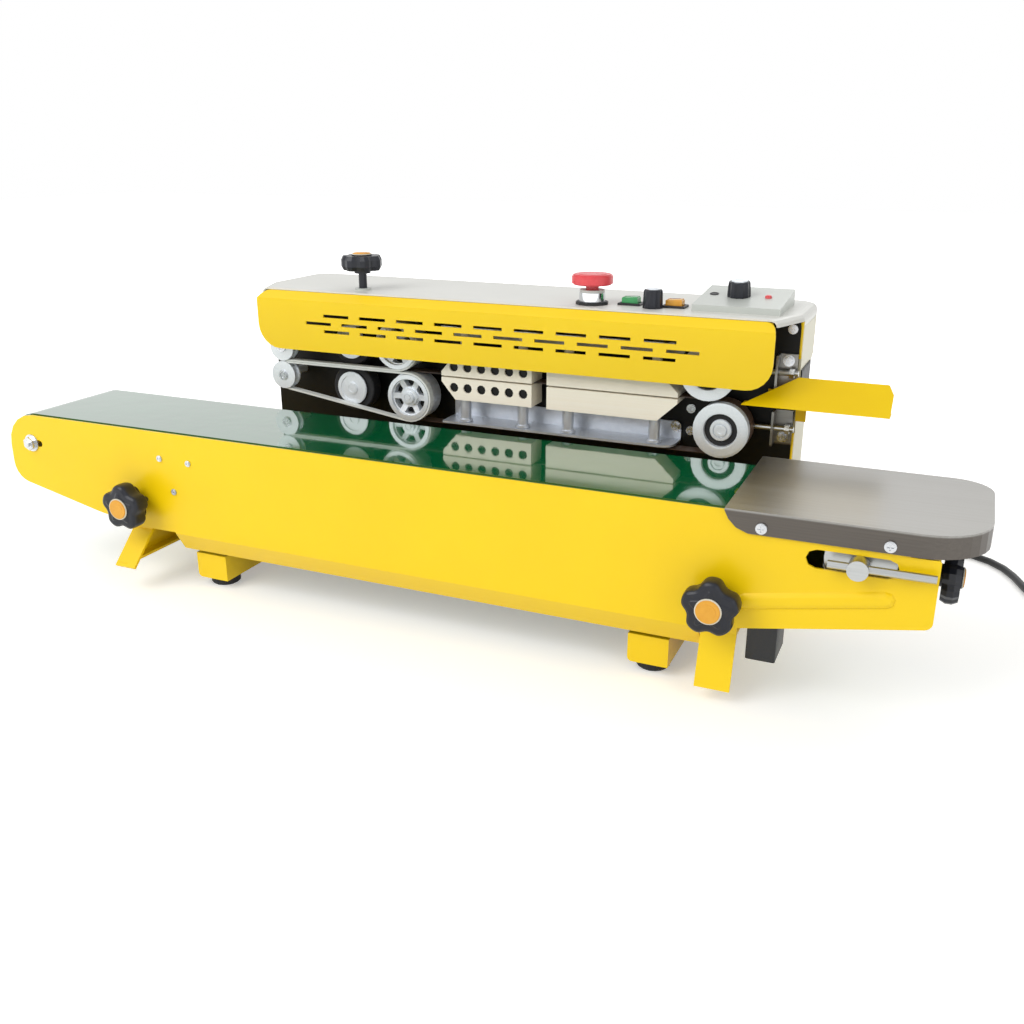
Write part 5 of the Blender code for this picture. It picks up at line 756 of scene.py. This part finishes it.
step_in(mushroom, (0, 0, -1), [(0.0018, 0.0012), (0.0109, 0), (0.0002, 0.0190)])
finish_piece(mushroom, stop_red, "estop_button", 50)
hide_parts("estop_button")

# ---- Rocker switches ------------------------------------------------------------------
# Two lit rockers, green for power and orange for heat. Each tilts in a bezel of black ABS
# that snaps into the lid.
# Translucent acrylic: glossy, a little deeper towards its middle.
ROCKER_Y = 0.066
for switch, slot, name, colour, deep, light, x in (
        ("power", "green_plastic", "green acrylic rocker", "#3FA45F", "#2E9350", "#4DB26D",
         0.1305),
        ("heater", "orange_plastic", "orange acrylic rocker", "#E2A02A", "#D8921A", "#ECB040",
         0.1710)):
    acrylic, place = new_finish(name, colour, 0.22)
    glow = add_node(acrylic, "TexNoise", {"Vector": place, "Scale": 150.0, "Detail": 2.0})
    add_node(acrylic, "Mix", {"data_type": "RGBA", 0: glow, 6: linear(deep),
                              7: linear(light)}, "Base Color")
    add_node(acrylic, "MapRange", {"Value": glow, "To Min": 0.16, "To Max": 0.30}, "Roughness")
    key = square_blank(switch + "_rocker_key", (x - 0.0074, ROCKER_Y - 0.0052, 0.2670),
                       (x + 0.0074, ROCKER_Y + 0.0052, 0.2748))
    pick_faces(key, lambda centre, normal: normal.z > 0.9)
    bpy.ops.mesh.inset(thickness=0.0007, depth=0.0005)
    bpy.ops.mesh.extrude_region_move(TRANSFORM_OT_translate={"value": (0, 0, 0.0002)})
    bpy.ops.transform.rotate(value=math.radians(5), orient_axis="Y",
                             center_override=(x, ROCKER_Y, 0.2754))
    finish_piece(key, acrylic, switch + "_rocker", 25)
    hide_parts(switch + "_rocker")
    bezel = square_blank(switch + "_bezel", (x - 0.0105, ROCKER_Y - 0.0080, 0.2685),
                         (x + 0.0105, ROCKER_Y + 0.0080, 0.2702))
    pick_faces(bezel, lambda centre, normal: normal.z > 0.9)
    bpy.ops.mesh.inset(thickness=0.0006, depth=0.0004)
    bpy.ops.mesh.inset(thickness=0.0014, depth=0)
    bpy.ops.mesh.delete(type="FACE")
    pick_faces(bezel, lambda centre, normal: normal.z < -0.9)
    bpy.ops.mesh.inset(thickness=0.0020, depth=0)
    bpy.ops.mesh.delete(type="FACE")
    bpy.ops.mesh.select_mode(type="EDGE")
    bpy.ops.mesh.select_all(action="DESELECT")
    bpy.ops.mesh.select_non_manifold()
    bpy.ops.mesh.bridge_edge_loops()
    finish_piece(bezel, black_abs, "base", 25)

# ---- Knob and dial trim ---------------------------------------------------------------
# The speed knob and the temperature dial are moulded in phenolic, and each has a spun
# aluminium disc glued into its top.
CASE_SLOPE = Vector((0, -0.110432, 0.993884))
for name, seat, axis, radius in (
        ("speed_knob", Vector((0.154, 0.054, 0.2848)), Vector(UP), 0.0062),
        ("temperature_dial", Vector((0.223, 0.086, 0.2788)) + CASE_SLOPE * 0.0133, CASE_SLOPE,
         0.0072)):
    trim = round_blank(name + "_trim", seat + axis * 0.0002, axis, radius, 0.0006, 32)
    step_in(trim, axis, [(0.0006, 0.0003), (0.0030, -0.0002)])
    finish_piece(trim, turned_alloy, name)

# ---- Controller case ------------------------------------------------------------------
# The temperature controller sits in a grey case on the lid: a small dark window and a red
# lamp, pressed into its sloping face on either side of the dial.
window = round_blank("controller_window",
                     Vector((0.2004, 0.0891, 0.2788)) + CASE_SLOPE * 0.0003, CASE_SLOPE, 0.0040,
                     0.0010, 28)
step_in(window, CASE_SLOPE, [(0.0007, 0), (0.0002, -0.0004)])
finish_piece(window, black_abs, "base")
# Lamp lens: clear red acrylic over a small lamp.
lamp_red, place = new_finish("red acrylic lens", "#E8545A", 0.15)
spark = add_node(lamp_red, "TexNoise", {"Vector": place, "Scale": 400.0, "Detail": 1.0})
add_node(lamp_red, "Mix", {"data_type": "RGBA", 0: spark, 6: linear("#DF444B"),
                           7: linear("#F2777A")}, "Base Color")
lens = round_blank("controller_lamp", Vector((0.2489, 0.0858, 0.2787)) + CASE_SLOPE * 0.0006,
                   CASE_SLOPE, 0.0030, 0.0016, 24)
step_in(lens, CASE_SLOPE, [(0.0006, 0.0005), (0.0008, 0.0003)])
finish_piece(lens, lamp_red, "base", 60)

# ---- Studio ---------------------------------------------------------------------------
# A plain white table and three soft lamps at a plain level. The white behind the machine is
# the world's own colour.
bpy.ops.object.select_all(action="DESELECT")
bpy.ops.mesh.primitive_plane_add(size=12, location=(0, 0, -0.0002))
table = bpy.context.object
table.name = "table_top"
bpy.ops.object.transform_apply(location=True)
# White laminate: matt and even. It is plain white to the eye and in reflections away from the
# machine, and keeps the machine's shadow close to it.
table_white, place = new_finish("white laminate table", "#F4F4F2", 0.6)
shader = table_white.node_tree.nodes["Principled BSDF"]
shader.inputs["Emission Color"].default_value = (1, 1, 1, 1)
ray = table_white.node_tree.nodes.new("ShaderNodeLightPath")
seen = add_node(table_white, "Math", {"operation": "MAXIMUM", 0: ray.outputs["Is Camera Ray"],
                                      1: ray.outputs["Is Glossy Ray"]})
away = add_node(table_white, "VectorMath", {"operation": "LENGTH", 0: place}).node
NEAR, FAR = 0.55, 1.5
fade = add_node(table_white, "MapRange", {"Value": away.outputs["Value"], "From Min": NEAR,
                                          "From Max": FAR, "To Min": 0.32, "To Max": 1.0})
add_node(table_white, "Math", {"operation": "MULTIPLY", 0: seen, 1: fade}, "Emission Strength")
table.data.materials.append(table_white)

world = bpy.data.worlds.new("studio")
bpy.context.scene.world = world
world.use_nodes = True
sky = world.node_tree.nodes["Background"]
sky.inputs["Color"].default_value = (1, 1, 1, 1)
ray = world.node_tree.nodes.new("ShaderNodeLightPath")
seen = add_node(world, "Math", {"operation": "MAXIMUM", 0: ray.outputs["Is Camera Ray"],
                                1: ray.outputs["Is Glossy Ray"]})
seen = add_node(world, "Math", {"operation": "MAXIMUM", 0: seen,
                                1: ray.outputs["Is Transmission Ray"]})
level = add_node(world, "MapRange", {"Value": seen, "To Min": 0.55, "To Max": 1.0})
world.node_tree.links.new(level, sky.inputs["Strength"])

for name, stand, target, size, power in (
        ("key_lamp", (-0.8, -1.5, 1.5), (-0.1, 0, 0.12), 1.4, 25),
        ("fill_lamp", (1.6, -1.0, 1.1), (0.2, 0, 0.15), 1.2, 6),
        ("back_lamp", (0.4, 1.5, 1.5), (0, 0, 0.2), 1.2, 8)):
    bpy.ops.object.light_add(type="AREA", location=stand)
    lamp = bpy.context.object
    lamp.name = name
    lamp.data.size = size
    lamp.data.energy = power
    aim = Vector(target) - Vector(stand)
    lamp.rotation_euler = aim.to_track_quat("-Z", "Y").to_euler()

bpy.context.scene.view_settings.view_transform = "Standard"
